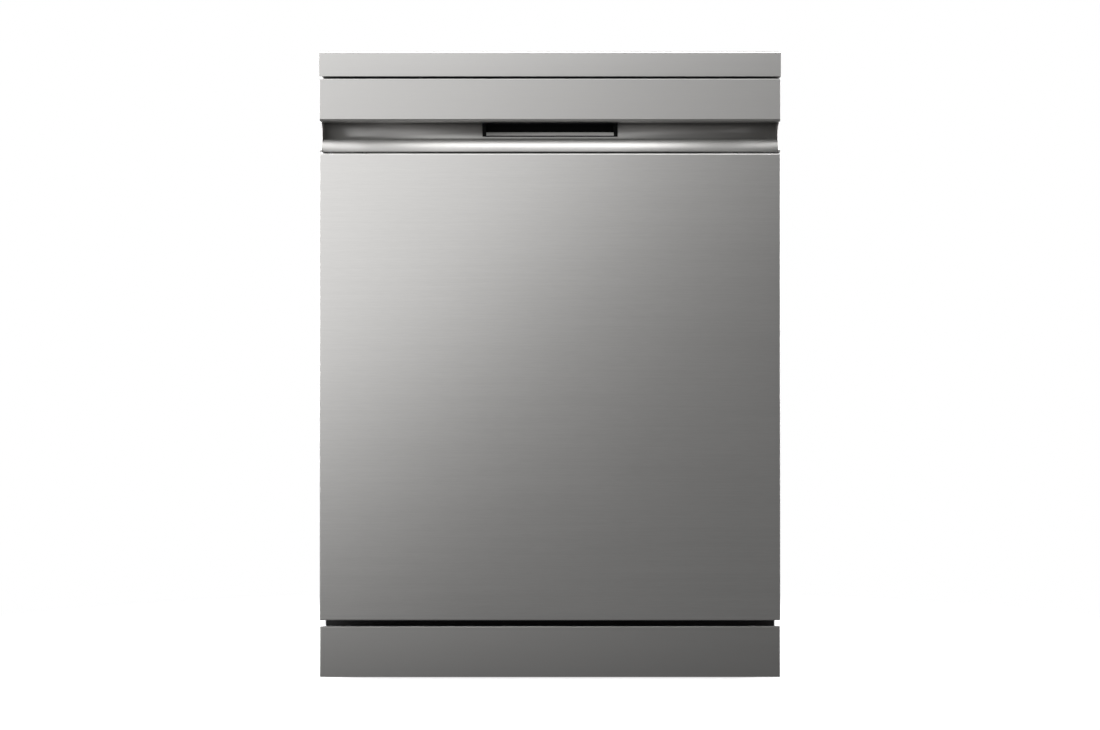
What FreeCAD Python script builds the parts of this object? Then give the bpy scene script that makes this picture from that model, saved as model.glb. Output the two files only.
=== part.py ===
import FreeCAD, Part
import math
import os
from FreeCAD import Vector

# A 600 mm built-under dishwasher in millimetres. +Z is up, the door faces -Y and +X is to the
# right of someone who stands in front. The origin is the centre of the footprint, on the floor.

# ---- overall sizes ----
WIDTH = 598.0
HEIGHT = 815.0
DEPTH = 573.0
HALF_WIDTH = WIDTH / 2
FRONT_Y = -DEPTH / 2
REAR_Y = DEPTH / 2

# ---- sheet and moulding thicknesses ----
PANEL_SHEET = 1.0
CASE_SHEET = 1.5
TUB_SHEET = 1.2
TRIM_WALL = 2.0
MOULDING = 2.5
# WIDE is past everything; a sliver under CRUMB cubic millimetres is dropped when a sheet is divided
WIDE = 2000.0
CRUMB = 5.0

# ---- shared small sizes: how far a cutter runs past a face, how near counts as in a plane, the
# ---- slope of an upright edge, how far joined pieces reach into each other, a plain rounding
PAST = 1.0
NEAR = 0.01
STEEP = 0.9
SINK = 0.5
ROUND = 2.0

# ---- front: plinth, door, fascia and top trim, from the floor up ----
PLINTH_LOW = 2.0
PLINTH_TOP = 68.0
PLINTH_SETBACK = 3.5
PLINTH_SHEET = 2.0
PLINTH_FLANGE = 7.0
DOOR_GAP = 8.0
TRIM_HEIGHT = 33.0
TRIM_OVERHANG = 1.0
TRIM_DEPTH = 46.0
TOP_GAP = 3.0
FASCIA_HEIGHT = 55.0
RECESS_HEIGHT = 42.0
SEAM = 2.0
DOOR_LOW = PLINTH_TOP + DOOR_GAP
TRIM_LOW = HEIGHT - TRIM_HEIGHT
FASCIA_TOP = TRIM_LOW - TOP_GAP
FASCIA_LOW = FASCIA_TOP - FASCIA_HEIGHT
RECESS_LOW = FASCIA_LOW - RECESS_HEIGHT + SEAM
PANEL_TOP = RECESS_LOW - SEAM
PANEL_RETURN = 20.0
PANEL_EDGE_R = 1.4
FASCIA_BEVEL = 2.5
TRIM_EDGE_R = 3.0
PLINTH_TAB_INSET = 90.0
PLINTH_TAB = 30.0
PLINTH_TAB_RISE = 10.0
PLINTH_TAB_SHEET = 2.0

# ---- door thickness, hinge axis and inner liner ----
HINGE_SETBACK = 24.5
HINGE_RISE = 54.0
LINER_OFFSET = 25.0
HINGE_Y = FRONT_Y + HINGE_SETBACK
HINGE_Z = DOOR_LOW + HINGE_RISE
LINER_Y = HINGE_Y + LINER_OFFSET
LINER_HALF = HALF_WIDTH - 13.0
LINER_LOW_HALF = HALF_WIDTH - 31.0
LINER_LOW = DOOR_LOW + 8.0
LINER_TOP = FASCIA_TOP - 3.5
FLANGE_Y = FRONT_Y + PANEL_RETURN
SWING_RADIUS = math.hypot(LINER_OFFSET, HINGE_RISE)
SWING_ROOM = 4.0
SWING_CLEAR_Y = HINGE_Y + SWING_RADIUS + SWING_ROOM
STACK_FIT = 0.2
LINER_STEP_RISE = 28.0
LINER_OVERLAP = 5.0
LINER_RELIEF = 4.0
LINER_RELIEF_RISE = 8.0
CUP_ROOM = 0.6
FACE_CUT = 3.0
CORNER_RELIEF = 3.0
KEEPER_ROOM = 9.0
KEEPER_DROP = 6.0

# ---- handle recess and its grip cup ----
RECESS_DEPTH = 32.0
RECESS_BEND_R = 10.0
RECESS_SLOPE = 20.0
RECESS_LIP_R = 3.0
RECESS_LIP_SET = 0.5
RECESS_SHEET = 1.2
RECESS_BACK_Y = FRONT_Y + RECESS_DEPTH
END_CAP = 3.0
END_CAP_RAKE = 22.0
GRIP_HALF = 83.5
GRIP_FRAME = 5.0
GRIP_FRAME_PROUD = 1.2
GRIP_WALL = 1.5
GRIP_LOW = FASCIA_LOW - 17.5
GRIP_TOP = FASCIA_LOW + 8.0
GRIP_DEPTH = 12.5
RECESS_LIP_RISE = 1.0
RECESS_TOP_RUN = 6.0
RECESS_CUT = 5.0
END_CAP_BACK = 5.0
END_CAP_NOSE = 3.0
GRIP_FRAME_RISE = 4.0
FASCIA_BACK = 3.0
FASCIA_OPEN = 1.5

# ---- hinge ----
PIN_R = 5.0
PIN_FIT = 0.05
ARM_PLATE = 3.0
ARM_X = HALF_WIDTH - 11.0
BRACKET_X = ARM_X + ARM_PLATE + 1.3
BRACKET_PLATE = 3.0
ARM_TOP = 200.0
BRACKET_REACH = 112.0
COIL_R = 8.5
COIL_WIRE_R = 1.5
COIL_TURNS = 4.0
ARM_INSET = 2.5
ARM_HEEL = ((-14.0, -8.0), (0.0, -11.0), (11.0, -6.0), (11.0, 9.0))
ARM_FOOT_RISE = 20.0
ARM_SHOULDER = 26.0
ARM_FRONT_GAP = 2.0
BRACKET_NOSE = ((-2.0, 11.0), (-9.0, 6.0), (-9.0, -6.0), (-4.0, -10.0))
BRACKET_DROP = 14.0
BRACKET_RISE = 24.0
BRACKET_FIT = 0.2
BRACKET_SEAT = 14.5
PIN_LENGTH = 17.0
COIL_GAP = 0.3
COIL_STAND = 2.5
COIL_TURN = 90.0

# ---- wash tub ----
TUB_HALF = HALF_WIDTH - 37.0
TUB_FRONT_Y = LINER_Y + 8.0
TUB_REAR_Y = REAR_Y - 24.5
TUB_LIP_GAP = 0.4
TUB_FLOOR = HINGE_Z + LINER_OFFSET + TUB_LIP_GAP + TUB_SHEET
TUB_ROOF = HEIGHT - 63.0
FLANGE_HALF = HALF_WIDTH - 7.0
FLANGE_TOP = TUB_ROOF + 26.0
BASIN_HALF = TUB_HALF - 37.0
BASIN_DEPTH = 26.0
BASIN_MARGIN = 34.0
BASIN_FLOOR = TUB_FLOOR - BASIN_DEPTH
TUB_MID_Y = (TUB_FRONT_Y + TUB_REAR_Y) / 2
GASKET_WIDTH = 10.0
SEAL_CLEAR = 0.3
HOLE_ROOM = 0.5
SUMP_LIP = 8.0
GASKET_FOOT = 6.0
GASKET_SET = 1.0

# ---- base and feet ----
BASE_FLOOR = 24.0
BASE_FRONT_Y = FRONT_Y + 16.5
BASE_REAR_Y = REAR_Y - 22.0
BASE_LOW_WALL = 60.0
BASE_HIGH_WALL = HINGE_Z - 10.0
SIDE_X = HALF_WIDTH - CASE_SHEET
BASE_HALF = SIDE_X
BASE_WALL = BASE_HALF - BRACKET_X - BRACKET_PLATE
FOOT_DISC_R = 18.0
FOOT_DISC = 10.0
STEM_R = 5.0
STEM_FIT = 0.1
STEM_TOP = BASE_FLOOR + 42.0
BOSS_R = 11.0
BOSS_TOP = BASE_FLOOR + 22.0
FOOT_X = HALF_WIDTH - 34.0
FOOT_FRONT_Y = BASE_FRONT_Y + 26.0
FOOT_REAR_Y = BASE_REAR_Y - 30.0
SCREW_RISE = 20.0
SCREW_FRONT = 30.0
SCREW_REAR = 50.0
SCREW_DEEP = 4.0
SIDE_FOOT = 2.0
SIDE_FRONT = 4.0
SIDE_NOTCH = 30.0
POST_WIDE = 30.0
POST_LONG = 40.0
POST_FRONT = 20.0
POST_REAR = 70.0
POST_INSET = 4.0

# ---- spray arms, filter and sump ----
SUMP_X = 95.0
SUMP_Y = TUB_MID_Y - 70.0
SUMP_R = 58.0
SUMP_LOW = 58.0
FILTER_R = 40.0
FILTER_HOLE_R = FILTER_R + 1.0
FILTER_TOP = TUB_FLOOR - 5.0
HUB_R = 12.0
HUB_FIT = 0.08
ARM_LOW = TUB_FLOOR + 4.0
ARM_HEIGHT = 13.0
ARM_HALF_WIDTH = 24.0
LOWER_ARM_R = TUB_HALF - 58.0
UPPER_ARM_R = TUB_HALF - 77.0
FEED_R = 10.0
UPPER_FEED_Z = 470.0
UPPER_ARM_LOW = UPPER_FEED_Z - 26.0

SALT_X = -150.0
SALT_Y = TUB_MID_Y - 60.0
SALT_NECK_R = 30.0
FEED_WALL_Y = TUB_REAR_Y - FEED_R - 1.0
SUMP_OUTLET_R = 14.0
SUMP_BORE_R = 12.0
SUMP_OUTLET_RUN = 16.0
SUMP_OUTLET_RISE = 20.0
SIEVE_MARGIN = 8.0
SIEVE_SHEET = 1.2
FILTER_DEEP = 30.0
FILTER_WALL = 2.0
FILTER_GRIP = 14.0
HUB_DEEP = 26.0
HUB_SOCKET = 8.0
HUB_COLLAR = 5.0
HUB_WALL = 2.0
ARM_EDGE_R = 3.0
JET_R = 1.5
JET_DEEP = 2.0
JET_SIDE = 8.0
LOWER_JETS = (60.0, 90.0, 120.0, 150.0, 180.0)
UPPER_JETS = (50.0, 80.0, 110.0, 140.0)
STUB_DEEP = 7.0
FEED_BOSS = 4.0
FEED_BOSS_RISE = 1.5
FEED_START = 22.0
FEED_BEND = 22.0
ROSE_DROP = 11.0
ROSE_WIDE_R = 30.0
ROSE_NARROW_R = 20.0
ROSE_HEIGHT = 9.0
ROSE_SEAT = 8.0
ROSE_NECK_R = 14.0
SALT_BOX_HALF = 60.0
SALT_BOX_FRONT = 70.0
SALT_BOX_REAR = 90.0
SALT_BOX_RISE = 12.0
SALT_BOX_DROP = 14.0
SALT_BOX_R = 8.0
SALT_NECK_RISE = 5.0
SALT_NECK_WALL = 4.0
SALT_BORE_DEEP = 20.0
SALT_NECK_DEEP = 16.0
CAP_GAP = 0.4
CAP_FIT = 0.3
CAP_HEIGHT = 12.0
CAP_DEEP = 8.0
CAP_WALL = 4.0
CAP_BAR_LONG = 24.0
CAP_BAR_HALF = 3.0
CAP_BAR_LOW = 11.0
CAP_BAR_TOP = 20.0
PUMP_RISE = 8.0
VOLUTE_R = 40.0
VOLUTE_LONG = 34.0
VOLUTE_WALL = 3.0
MOTOR_R = 32.0
MOTOR_BORE_R = 22.0
MOTOR_LONG = 120.0
MOTOR_BORE = (60.0, 116.0)
BRANCH_R = 11.0
BRANCH_RISE = 30.0
DRAIN_PUMP_X = 100.0
DRAIN_PUMP_Y = 30.0
DRAIN_PUMP_RISE = 22.0
DRAIN_PUMP_R = 24.0
DRAIN_PUMP_LONG = 26.0
DRAIN_MOTOR_R = 17.0
DRAIN_MOTOR_END = 70.0
TANK_THICK = 26.0
TANK_Y = (-120.0, 150.0)
TANK_Z = (230.0, 620.0)
TANK_R = 6.0

# ---- ports in the rear of the base ----
INLET_X = -190.0
DRAIN_X = -130.0
POWER_X = 200.0
PORT_Z = 90.0
THREAD_R = 13.2
THREAD_LENGTH = 15.0
SPIGOT_R = 9.5
SPIGOT_LENGTH = 17.0
PORT_STAND = 1.2
NECK_STEP = 0.6
GLAND_R = 12.0
PORT_FIT = 0.4
REAR_PORTS = (
    (INLET_X, THREAD_R + PORT_FIT),
    (DRAIN_X, SPIGOT_R + PORT_FIT),
    (POWER_X, GLAND_R + PORT_FIT),
)
VALVE_HALF = 18.0
VALVE_TALL = 20.0
VALVE_FRONT = 52.0
VALVE_REAR = 12.0
NECK_DEEP = 14.0
THREAD_WALL = 3.5
THREAD_BORE_DEEP = 20.0
SPIGOT_WALL = 2.5
SPIGOT_DEEP = 30.0
SPIGOT_FLANGE = 4.0
SPIGOT_FLANGE_R = 16.0
BORE_RUN = 40.0
GLAND_BORE_R = 4.5
GLAND_DEEP = 14.0
GLAND_NUT = 6.0
GLAND_PROUD = 8.0
GLAND_NUT_STEP = 4.0
GLAND_RUN = 20.0

# ---- worktop brackets and casing screws ----
BRACKET_HOLE_X = HALF_WIDTH - 99.0
BRACKET_HOLE_R = 2.6
BRACKET_HALF = 30.0
BRACKET_DEEP = 48.0
SCREW_R = 1.9
SCREW_FIT = 0.1
SCREW_HEAD_R = 4.0
SCREW_HEAD = 0.9
BRACKET_FRONT_GAP = 0.5
BRACKET_SHEET = 2.0
BRACKET_LEG = 20.0
BRACKET_POCKET = 31.0
BRACKET_POCKET_DEEP = 50.0
BRACKET_POCKET_DROP = 9.0

# ---- racks ----
WIRE_R = 1.6
HOOP_R = 2.4
WELD_SET = 0.5
WIRE_BEND = 12.0
WIRE_PITCH = 50.0
HOOP_BEND = 4.5
FLOOR_SECTION = 9.0
WALL_ROOM = 0.5
WHEEL_R = 18.0
WHEEL_THICK = 9.0
WHEEL_GAP = 0.3
AXLE_R = 3.0
AXLE_FIT = 0.06
LOWER_HALF = TUB_HALF - 24.0
LOWER_FRONT_Y = TUB_FRONT_Y + 24.0
LOWER_REAR_Y = TUB_REAR_Y - 30.0
LOWER_Z = TUB_FLOOR + 32.0
LOWER_RISE = 140.0
WHEEL_FRONT_Y = LOWER_FRONT_Y + 72.0
WHEEL_REAR_Y = LOWER_REAR_Y - 60.0
WHEEL_Z = TUB_FLOOR + WHEEL_GAP + WHEEL_R
UPPER_HALF = TUB_HALF - 34.0
UPPER_Z = UPPER_FEED_Z + 16.0
UPPER_RISE = 130.0
TINE_R = 1.5
TINE_HEIGHT = 70.0
TINE_PITCH = 28.0
TINE_ROD_Z = LOWER_Z + 8.0
WIRE_INSET = 0.6
PLATE_HALF = 2.5
PLATE_LONG = 14.0
PLATE_DROP = 6.0
PLATE_RISE = 3.0
AXLE_HEAD = 2.0
WHEEL_STAND = 3.0
WHEEL_EDGE_R = 1.5
TINE_ROD_STEP = 0.5
TINE_ROOM_RIGHT = 130.0
TINE_ROOM_LEFT = 20.0
TINE_END = 8.0
TINE_SET_Y = 60.0
BASKET_WIDE = 84.0
BASKET_LONG = 230.0
BASKET_TALL = 105.0
BASKET_SIDE = 12.0
BASKET_FRONT = 30.0
BASKET_LIFT = 2.2
BASKET_WALL = 2.0
HANDLE_TOP = 62.0
HANDLE_HALF = 48.0
GRASP_HALF = 36.0
GRASP_LOW = 34.0
GRASP_TOP = 54.0

# ---- telescopic rails of the upper rack ----
RAIL_Z = UPPER_Z + 74.0
RAIL_LENGTH = 430.0
RAIL_TOP_HALF = 16.0
RAIL_WALL = 2.0
RAIL_FIT = 0.3
RAIL_OUTER = 10.0
RAIL_MIDDLE = 19.4
RAIL_INNER = 9.7
RAIL_FRONT = 4.0
SLIDER_WALL = 1.5
CLIP_PLACES = (90.0, 110.0)
CLIP_LONG = 24.0
CLIP_HALF = 13.0
UPPER_REAR_ROOM = 8.0
SHELF_FRONT = 60.0
SHELF_LONG = 230.0
SHELF_REACH = 95.0
SHELF_HALF_SHEET = 1.5
SHELF_SPINE_R = 3.0
SHELF_END = 4.0
SHELF_SLOT_INSET = 30.0
SHELF_SLOT_PITCH = 42.0
SHELF_SLOT = (16.0, 84.0)
SHELF_SLOT_HALF = 8.0
SHELF_SLOT_DEEP = 4.0
SHELF_SET = 9.0
SHELF_DROP = 14.0

# ---- door fittings ----
STRIP_SHEET = 3.0
STRIP_BACK_Y = LINER_Y - 3.0
BUTTON_LONG = 26.0
BUTTON_WIDE = 12.0
BUTTON_FIT = 0.3
BUTTON_PROUD = 0.6
BUTTON_X = (-230.0, -60.0, 230.0)
WINDOW_HALF = 42.0
WINDOW_WIDE = 14.0
WINDOW_X = 100.0
DISPENSER_LEFT = -30.0
DISPENSER_RIGHT = 170.0
DISPENSER_LOW = 396.0
DISPENSER_HIGH = 590.0
DISPENSER_PROUD = 9.0
DISPENSER_DEEP = 20.0
LID_WIDTH = 110.0
LID_HEIGHT = 96.0
LID_SHEET = 2.0
LID_FIT = 0.3
CAP_R = 17.0
CAP_NECK_R = 11.0
KEEPER_R = 3.0
KEEPER_Z = FLANGE_TOP - 10.0
KEEPER_HALF = 14.0
KEEPER_REACH = 24.0
STRIP_FIT = 0.2
STRIP_DROP = 0.5
STRIP_CUT = 10.0
LINER_BUTTON_ROOM = 3.0
BUTTON_EDGE_R = 0.5
BUTTON_LIP = 1.5
BUTTON_LIP_GAP = 0.2
BUTTON_STEM_HALF = 3.0
BUTTON_STEM = 6.0
WINDOW_FIT = 0.1
MODULE_HALF = 180.0
MODULE_DROP = 26.0
MODULE_FRONT = 4.0
MODULE_BACK = 3.0
MODULE_WALL = 2.0
MODULE_R = 3.0
JAW_HALF = 9.0
JAW_FIT = 0.4
JAW_REACH = 12.0
JAW_TIP = 5.0
JAW_NECK = 8.0
JAW_DEEP = 4.0
JAW_KNUCKLE_R = 2.5
KEEPER_PLATE_HALF = 28.0
KEEPER_PLATE_TALL = 4.0
KEEPER_PLATE_SHEET = 2.0
LID_INSET = 10.0
LID_GAP = 0.1
LID_TOP = 6.0
LID_SHORT = 8.0
RIDGE_INSET = 30.0
RIDGE_TOP = 8.0
RIDGE_LOW = 12.0
RIDGE_PROUD = 2.0
DETERGENT_INSET = 8.0
DETERGENT_FLOOR = 2.0
DETERGENT_LOW = 6.0
DETERGENT_TOP = 14.0
RESERVOIR_WALL = 4.0
RESERVOIR_SIDE = 3.0
RESERVOIR_GAP = 8.0
LID_RAIL = 4.0
PORT_DEEP = 6.0
RINSE_SET_X = 29.0
RINSE_SET_Z = 46.0
RINSE_CAP = 4.0
RINSE_GAP = 0.2
RINSE_PLUG = 5.0
RINSE_PLUG_FIT = 0.3
RINSE_BAR_HALF = 14.0
RINSE_BAR_THICK = 3.0
RINSE_BAR_TOP = 9.0


def block(x0, x1, y0, y1, z0, z1):
    """A box between two opposite corners."""
    return Part.makeBox(x1 - x0, y1 - y0, z1 - z0, Vector(x0, y0, z0))


def rod(start, end, radius):
    """A round bar from one point to another."""
    axis = end - start
    return Part.makeCylinder(radius, axis.Length, start, axis)


def upright(x, y, z0, z1, radius):
    """A round bar along Z."""
    return rod(Vector(x, y, z0), Vector(x, y, z1), radius)


def across(x0, x1, y, z, radius):
    """A round bar along X."""
    return rod(Vector(x0, y, z), Vector(x1, y, z), radius)


def inward(x, y0, y1, z, radius):
    """A round bar along Y."""
    return rod(Vector(x, y0, z), Vector(x, y1, z), radius)


def plate_yz(outline, x0, x1):
    """A flat plate with an outline of (y, z) corners, from x0 to x1."""
    corners = [Vector(x0, y, z) for y, z in outline]
    face = Part.Face(Part.makePolygon(corners + corners[:1]))
    return face.extrude(Vector(x1 - x0, 0, 0))


def mirrored(shape):
    """The same piece on the other side of the middle plane."""
    return shape.mirror(Vector(0, 0, 0), Vector(1, 0, 0))


def pair(shape):
    """A piece and its mirror image, as two separate solids."""
    return Part.makeCompound([shape, mirrored(shape)])


def fused(shapes):
    """One solid out of pieces that meet."""
    return shapes[0].multiFuse(shapes[1:]).removeSplitter()


def tray(x0, x1, y0, y1, z0, z1, wall):
    """An open-topped box with one wall thickness."""
    outer = block(x0, x1, y0, y1, z0, z1)
    inner = block(x0 + wall, x1 - wall, y0 + wall, y1 - wall, z0 + wall, z1 + wall)
    return outer.cut(inner)


def hollow_box(x0, x1, y0, y1, z0, z1, wall, radius):
    """A closed housing with rounded upright edges and an inside of the same shape."""
    outer = block(x0, x1, y0, y1, z0, z1)
    uprights = [edge for edge in outer.Edges if abs(edge.tangentAt(edge.FirstParameter).z) > STEEP]
    outer = outer.makeFillet(radius, uprights)
    inner = block(x0 + wall, x1 - wall, y0 + wall, y1 - wall, z0 + wall, z1 - wall)
    return outer.cut(inner)


def divided(shape, regions):
    """The shape as solids that meet face to face: one region after another takes what lies in it."""
    solids = []
    for region in regions:
        taken = shape.common(region)
        solids += taken.Solids
        if taken.Volume > shape.Volume - CRUMB:
            shape = Part.makeCompound([])
            break
        shape = shape.cut(region)
    solids += shape.Solids
    return Part.makeCompound([solid for solid in solids if solid.Volume > CRUMB])


def space(x=(-WIDE, WIDE), y=(-WIDE, WIDE), z=(-WIDE, WIDE)):
    """All space between the given limits, which are far away where they aren't given."""
    return block(x[0], x[1], y[0], y[1], z[0], z[1])


def front_edges(shape, plane_y):
    """The edges of a shape that lie in one upright plane that faces the front."""
    found = []
    for edge in shape.Edges:
        box = edge.BoundBox
        if abs(box.YMin - plane_y) < NEAR and abs(box.YMax - plane_y) < NEAR:
            found.append(edge)
    return found


def round_front(shape, plane_y, radius):
    """The shape with its front edges rounded."""
    return shape.makeFillet(radius, front_edges(shape, plane_y))


def bent_wire(points, radius, bend):
    """A round wire along straight runs, with the same bend at each inner point."""
    edges = []
    last = points[0]
    for before, corner, after in zip(points, points[1:], points[2:]):
        back = (before - corner).normalize()
        ahead = (after - corner).normalize()
        half_angle = back.getAngle(ahead) / 2
        start = corner + back * (bend / math.tan(half_angle))
        end = corner + ahead * (bend / math.tan(half_angle))
        middle = corner + (back + ahead).normalize() * (bend / math.sin(half_angle) - bend)
        edges.append(Part.LineSegment(last, start).toShape())
        edges.append(Part.Arc(start, middle, end).toShape())
        last = end
    edges.append(Part.LineSegment(last, points[-1]).toShape())
    path = Part.Wire(edges)
    section = Part.Circle(points[0], (points[1] - points[0]).normalize(), radius)
    return path.makePipeShell([Part.Wire([section.toShape()])], True, False)


def spaced(low, high, pitch):
    """Even places from low to high, no further apart than the pitch."""
    gaps = max(1, math.ceil((high - low) / pitch))
    return [low + (high - low) * i / gaps for i in range(gaps + 1)]


def wire_hoop(half, front, rear, z, radius, bend):
    """A closed wire hoop around a rack."""
    corners = [
        Vector(0, front, z),
        Vector(half, front, z),
        Vector(half, rear, z),
        Vector(-half, rear, z),
        Vector(-half, front, z),
        Vector(0, front, z),
    ]
    return bent_wire(corners, radius, bend)


def wire_basket(half, front, rear, low, rise, extras):
    """A rack of bent wires both ways, a middle hoop, a stout top hoop and what is welded on."""
    lay = 2 * WIRE_R - WELD_SET
    top = low + rise
    inset = WIRE_PITCH * WIRE_INSET
    wires = []
    for x in spaced(-half + inset, half - inset, WIRE_PITCH):
        corners = [Vector(x, front, top), Vector(x, front, low)]
        corners += [Vector(x, rear, low), Vector(x, rear, top)]
        wires.append(bent_wire(corners, WIRE_R, WIRE_BEND))
    for y in spaced(front + inset, rear - inset, WIRE_PITCH):
        corners = [Vector(-half, y, top), Vector(-half, y, low + lay)]
        corners += [Vector(half, y, low + lay), Vector(half, y, top)]
        wires.append(bent_wire(corners, WIRE_R, WIRE_BEND))
    hoops = [wire_hoop(half, front, rear, top, HOOP_R, HOOP_BEND)]
    hoops.append(wire_hoop(half, front, rear, low + rise / 2, WIRE_R, HOOP_BEND))
    cage = wires[0].multiFuse(wires[1:] + hoops)
    for extra in extras:
        cage = cage.cut(extra)
    side = half - HOOP_BEND - WALL_ROOM
    sections = [
        space(z=(-WIDE, low + FLOOR_SECTION)),
        space(y=(-WIDE, front + HOOP_BEND + WALL_ROOM)),
        space(y=(rear - HOOP_BEND - WALL_ROOM, WIDE)),
        space(x=(-WIDE, -side)),
        space(x=(side, WIDE)),
    ]
    return Part.makeCompound(divided(cage, sections).Solids + extras)


# ------------------------------------------------------------------ casing


def top_cover():
    """Sheet over the tub, with side lips and a cut-out for each worktop bracket."""
    front = FRONT_Y + TRIM_DEPTH
    sheet = block(-HALF_WIDTH, HALF_WIDTH, front, REAR_Y, HEIGHT - CASE_SHEET, HEIGHT)
    rear = front + BRACKET_POCKET_DEEP
    low = HEIGHT - BRACKET_POCKET_DROP
    for side in (-1, 1):
        left = side * BRACKET_HOLE_X - BRACKET_POCKET
        right = side * BRACKET_HOLE_X + BRACKET_POCKET
        pocket = block(left, right, front - PAST, rear, low, HEIGHT + PAST)
        sheet = sheet.cut(pocket)
    return sheet


def worktop_brackets():
    """Two angle brackets on the tub flange, each with a screw hole up into the worktop."""
    y0 = FRONT_Y + TRIM_DEPTH + BRACKET_FRONT_GAP
    y1 = y0 + BRACKET_DEEP
    x0 = BRACKET_HOLE_X - BRACKET_HALF
    x1 = BRACKET_HOLE_X + BRACKET_HALF
    top = block(x0, x1, y0, y1, HEIGHT - BRACKET_SHEET, HEIGHT)
    leg_y = TUB_FRONT_Y + TUB_SHEET
    leg = block(x0, x1, leg_y, leg_y + BRACKET_SHEET, FLANGE_TOP - BRACKET_LEG, HEIGHT - PAST)
    low = HEIGHT - BRACKET_SHEET - PAST
    hole = upright(BRACKET_HOLE_X, (y0 + y1) / 2, low, HEIGHT + PAST, BRACKET_HOLE_R)
    bracket = divided(fused([top, leg]).cut(hole), [space(z=(HEIGHT - BRACKET_SHEET, WIDE))])
    return Part.makeCompound(bracket.Solids + mirrored(bracket).Solids)


def top_front_trim():
    """Closed strip across the top of the front, with rounded upper edges and ends."""
    half = HALF_WIDTH + TRIM_OVERHANG
    rear = FRONT_Y + TRIM_DEPTH
    outer = block(-half, half, FRONT_Y, rear, TRIM_LOW, HEIGHT)
    corners = []
    for edge in outer.Edges:
        box = edge.BoundBox
        along_y = box.YLength > TRIM_DEPTH / 2
        on_top = box.ZMin > HEIGHT - NEAR
        front_top = box.XLength > half and abs(box.YMax - FRONT_Y) < NEAR and on_top
        if front_top or (along_y and on_top):
            corners.append(edge)
    outer = outer.makeFillet(TRIM_EDGE_R, corners)
    wall = TRIM_WALL
    low = TRIM_LOW + wall
    inner = block(-half + wall, half - wall, FRONT_Y + wall, rear - wall, low, HEIGHT - wall)
    return outer.cut(inner)


def side_panel(side):
    """Side sheet, notched at the lower front where the door's bottom edge swings in."""
    front = TUB_FRONT_Y - SIDE_FRONT
    notch_top = HINGE_Z + SIDE_NOTCH
    outline = [
        (SWING_CLEAR_Y, BASE_FLOOR + SIDE_FOOT),
        (BASE_REAR_Y, BASE_FLOOR + SIDE_FOOT),
        (REAR_Y - CASE_SHEET, BASE_FLOOR + SIDE_FOOT),
        (REAR_Y - CASE_SHEET, HEIGHT - CASE_SHEET),
        (FRONT_Y + TRIM_DEPTH + BRACKET_FRONT_GAP, HEIGHT - CASE_SHEET),
        (FRONT_Y + TRIM_DEPTH + BRACKET_FRONT_GAP, TRIM_LOW),
        (front, TRIM_LOW),
        (front, notch_top),
        (SWING_CLEAR_Y, notch_top),
    ]
    sheet = plate_yz(outline, SIDE_X, HALF_WIDTH)
    for place in screw_places():
        sheet = sheet.cut(screw_hole(place))
    return sheet if side > 0 else mirrored(sheet)


def screw_places():
    """Where each side panel is screwed to the base, as (y, z)."""
    z = BASE_FLOOR + SCREW_RISE
    return [(SWING_CLEAR_Y + SCREW_FRONT, z), (0.0, z), (BASE_REAR_Y - SCREW_REAR, z)]


def screw_hole(place):
    """Hole for one casing screw on the right side."""
    start = BASE_HALF - SCREW_DEEP
    return across(start, HALF_WIDTH + PAST, place[0], place[1], SCREW_R + SCREW_FIT)


def rear_panel():
    """Back sheet, above the recess where the hoses leave."""
    front = REAR_Y - CASE_SHEET
    return block(-HALF_WIDTH, HALF_WIDTH, front, REAR_Y, BASE_HIGH_WALL, HEIGHT - CASE_SHEET)


def foot_places():
    """The centre of each levelling foot, by name."""
    places = {}
    for row, y in (("front", FOOT_FRONT_Y), ("rear", FOOT_REAR_Y)):
        for side, x in (("left", -FOOT_X), ("right", FOOT_X)):
            places[f"foot_{row}_{side}"] = (x, y)
    return places


def base_pan():
    """Moulded base: low in front where the door swings, with foot bosses and tub posts."""
    half, wall, z = BASE_HALF, BASE_WALL, BASE_FLOOR
    floor = tray(-half, half, BASE_FRONT_Y, BASE_REAR_Y, z, BASE_LOW_WALL, wall)
    high = tray(-half, half, SWING_CLEAR_Y, BASE_REAR_Y, z, BASE_HIGH_WALL, wall)
    pieces = [floor.cut(block(-WIDE, WIDE, SWING_CLEAR_Y, WIDE, z + wall, HEIGHT)), high]
    tub_under = TUB_FLOOR - TUB_SHEET
    for y in (SWING_CLEAR_Y + POST_FRONT, TUB_REAR_Y - POST_REAR):
        for x in (-TUB_HALF + POST_INSET, TUB_HALF - POST_INSET - POST_WIDE):
            pieces.append(block(x, x + POST_WIDE, y, y + POST_LONG, BASE_FLOOR, tub_under))
    for x, y in foot_places().values():
        pieces.append(upright(x, y, BASE_FLOOR, BOSS_TOP, BOSS_R))
    pan = fused(pieces)
    for x, y in foot_places().values():
        pan = pan.cut(upright(x, y, BASE_FLOOR - PAST, BOSS_TOP + PAST, STEM_R + STEM_FIT))
    for x, radius in REAR_PORTS:
        pan = pan.cut(inward(x, BASE_REAR_Y - BASE_WALL - PAST, BASE_REAR_Y + PAST, PORT_Z, radius))
    for place in screw_places():
        pan = pan.cut(screw_hole(place)).cut(mirrored(screw_hole(place)))
    slot_x = BRACKET_X - BRACKET_FIT
    slot_y = SWING_CLEAR_Y + BASE_WALL + BRACKET_FIT
    slot_end = slot_x + BRACKET_PLATE + BRACKET_FIT
    slot = block(slot_x, slot_end, SWING_CLEAR_Y - PAST, slot_y, HINGE_Z - BRACKET_SEAT, HEIGHT)
    return divided(pan.cut(slot).cut(mirrored(slot)), base_sections())


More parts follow.
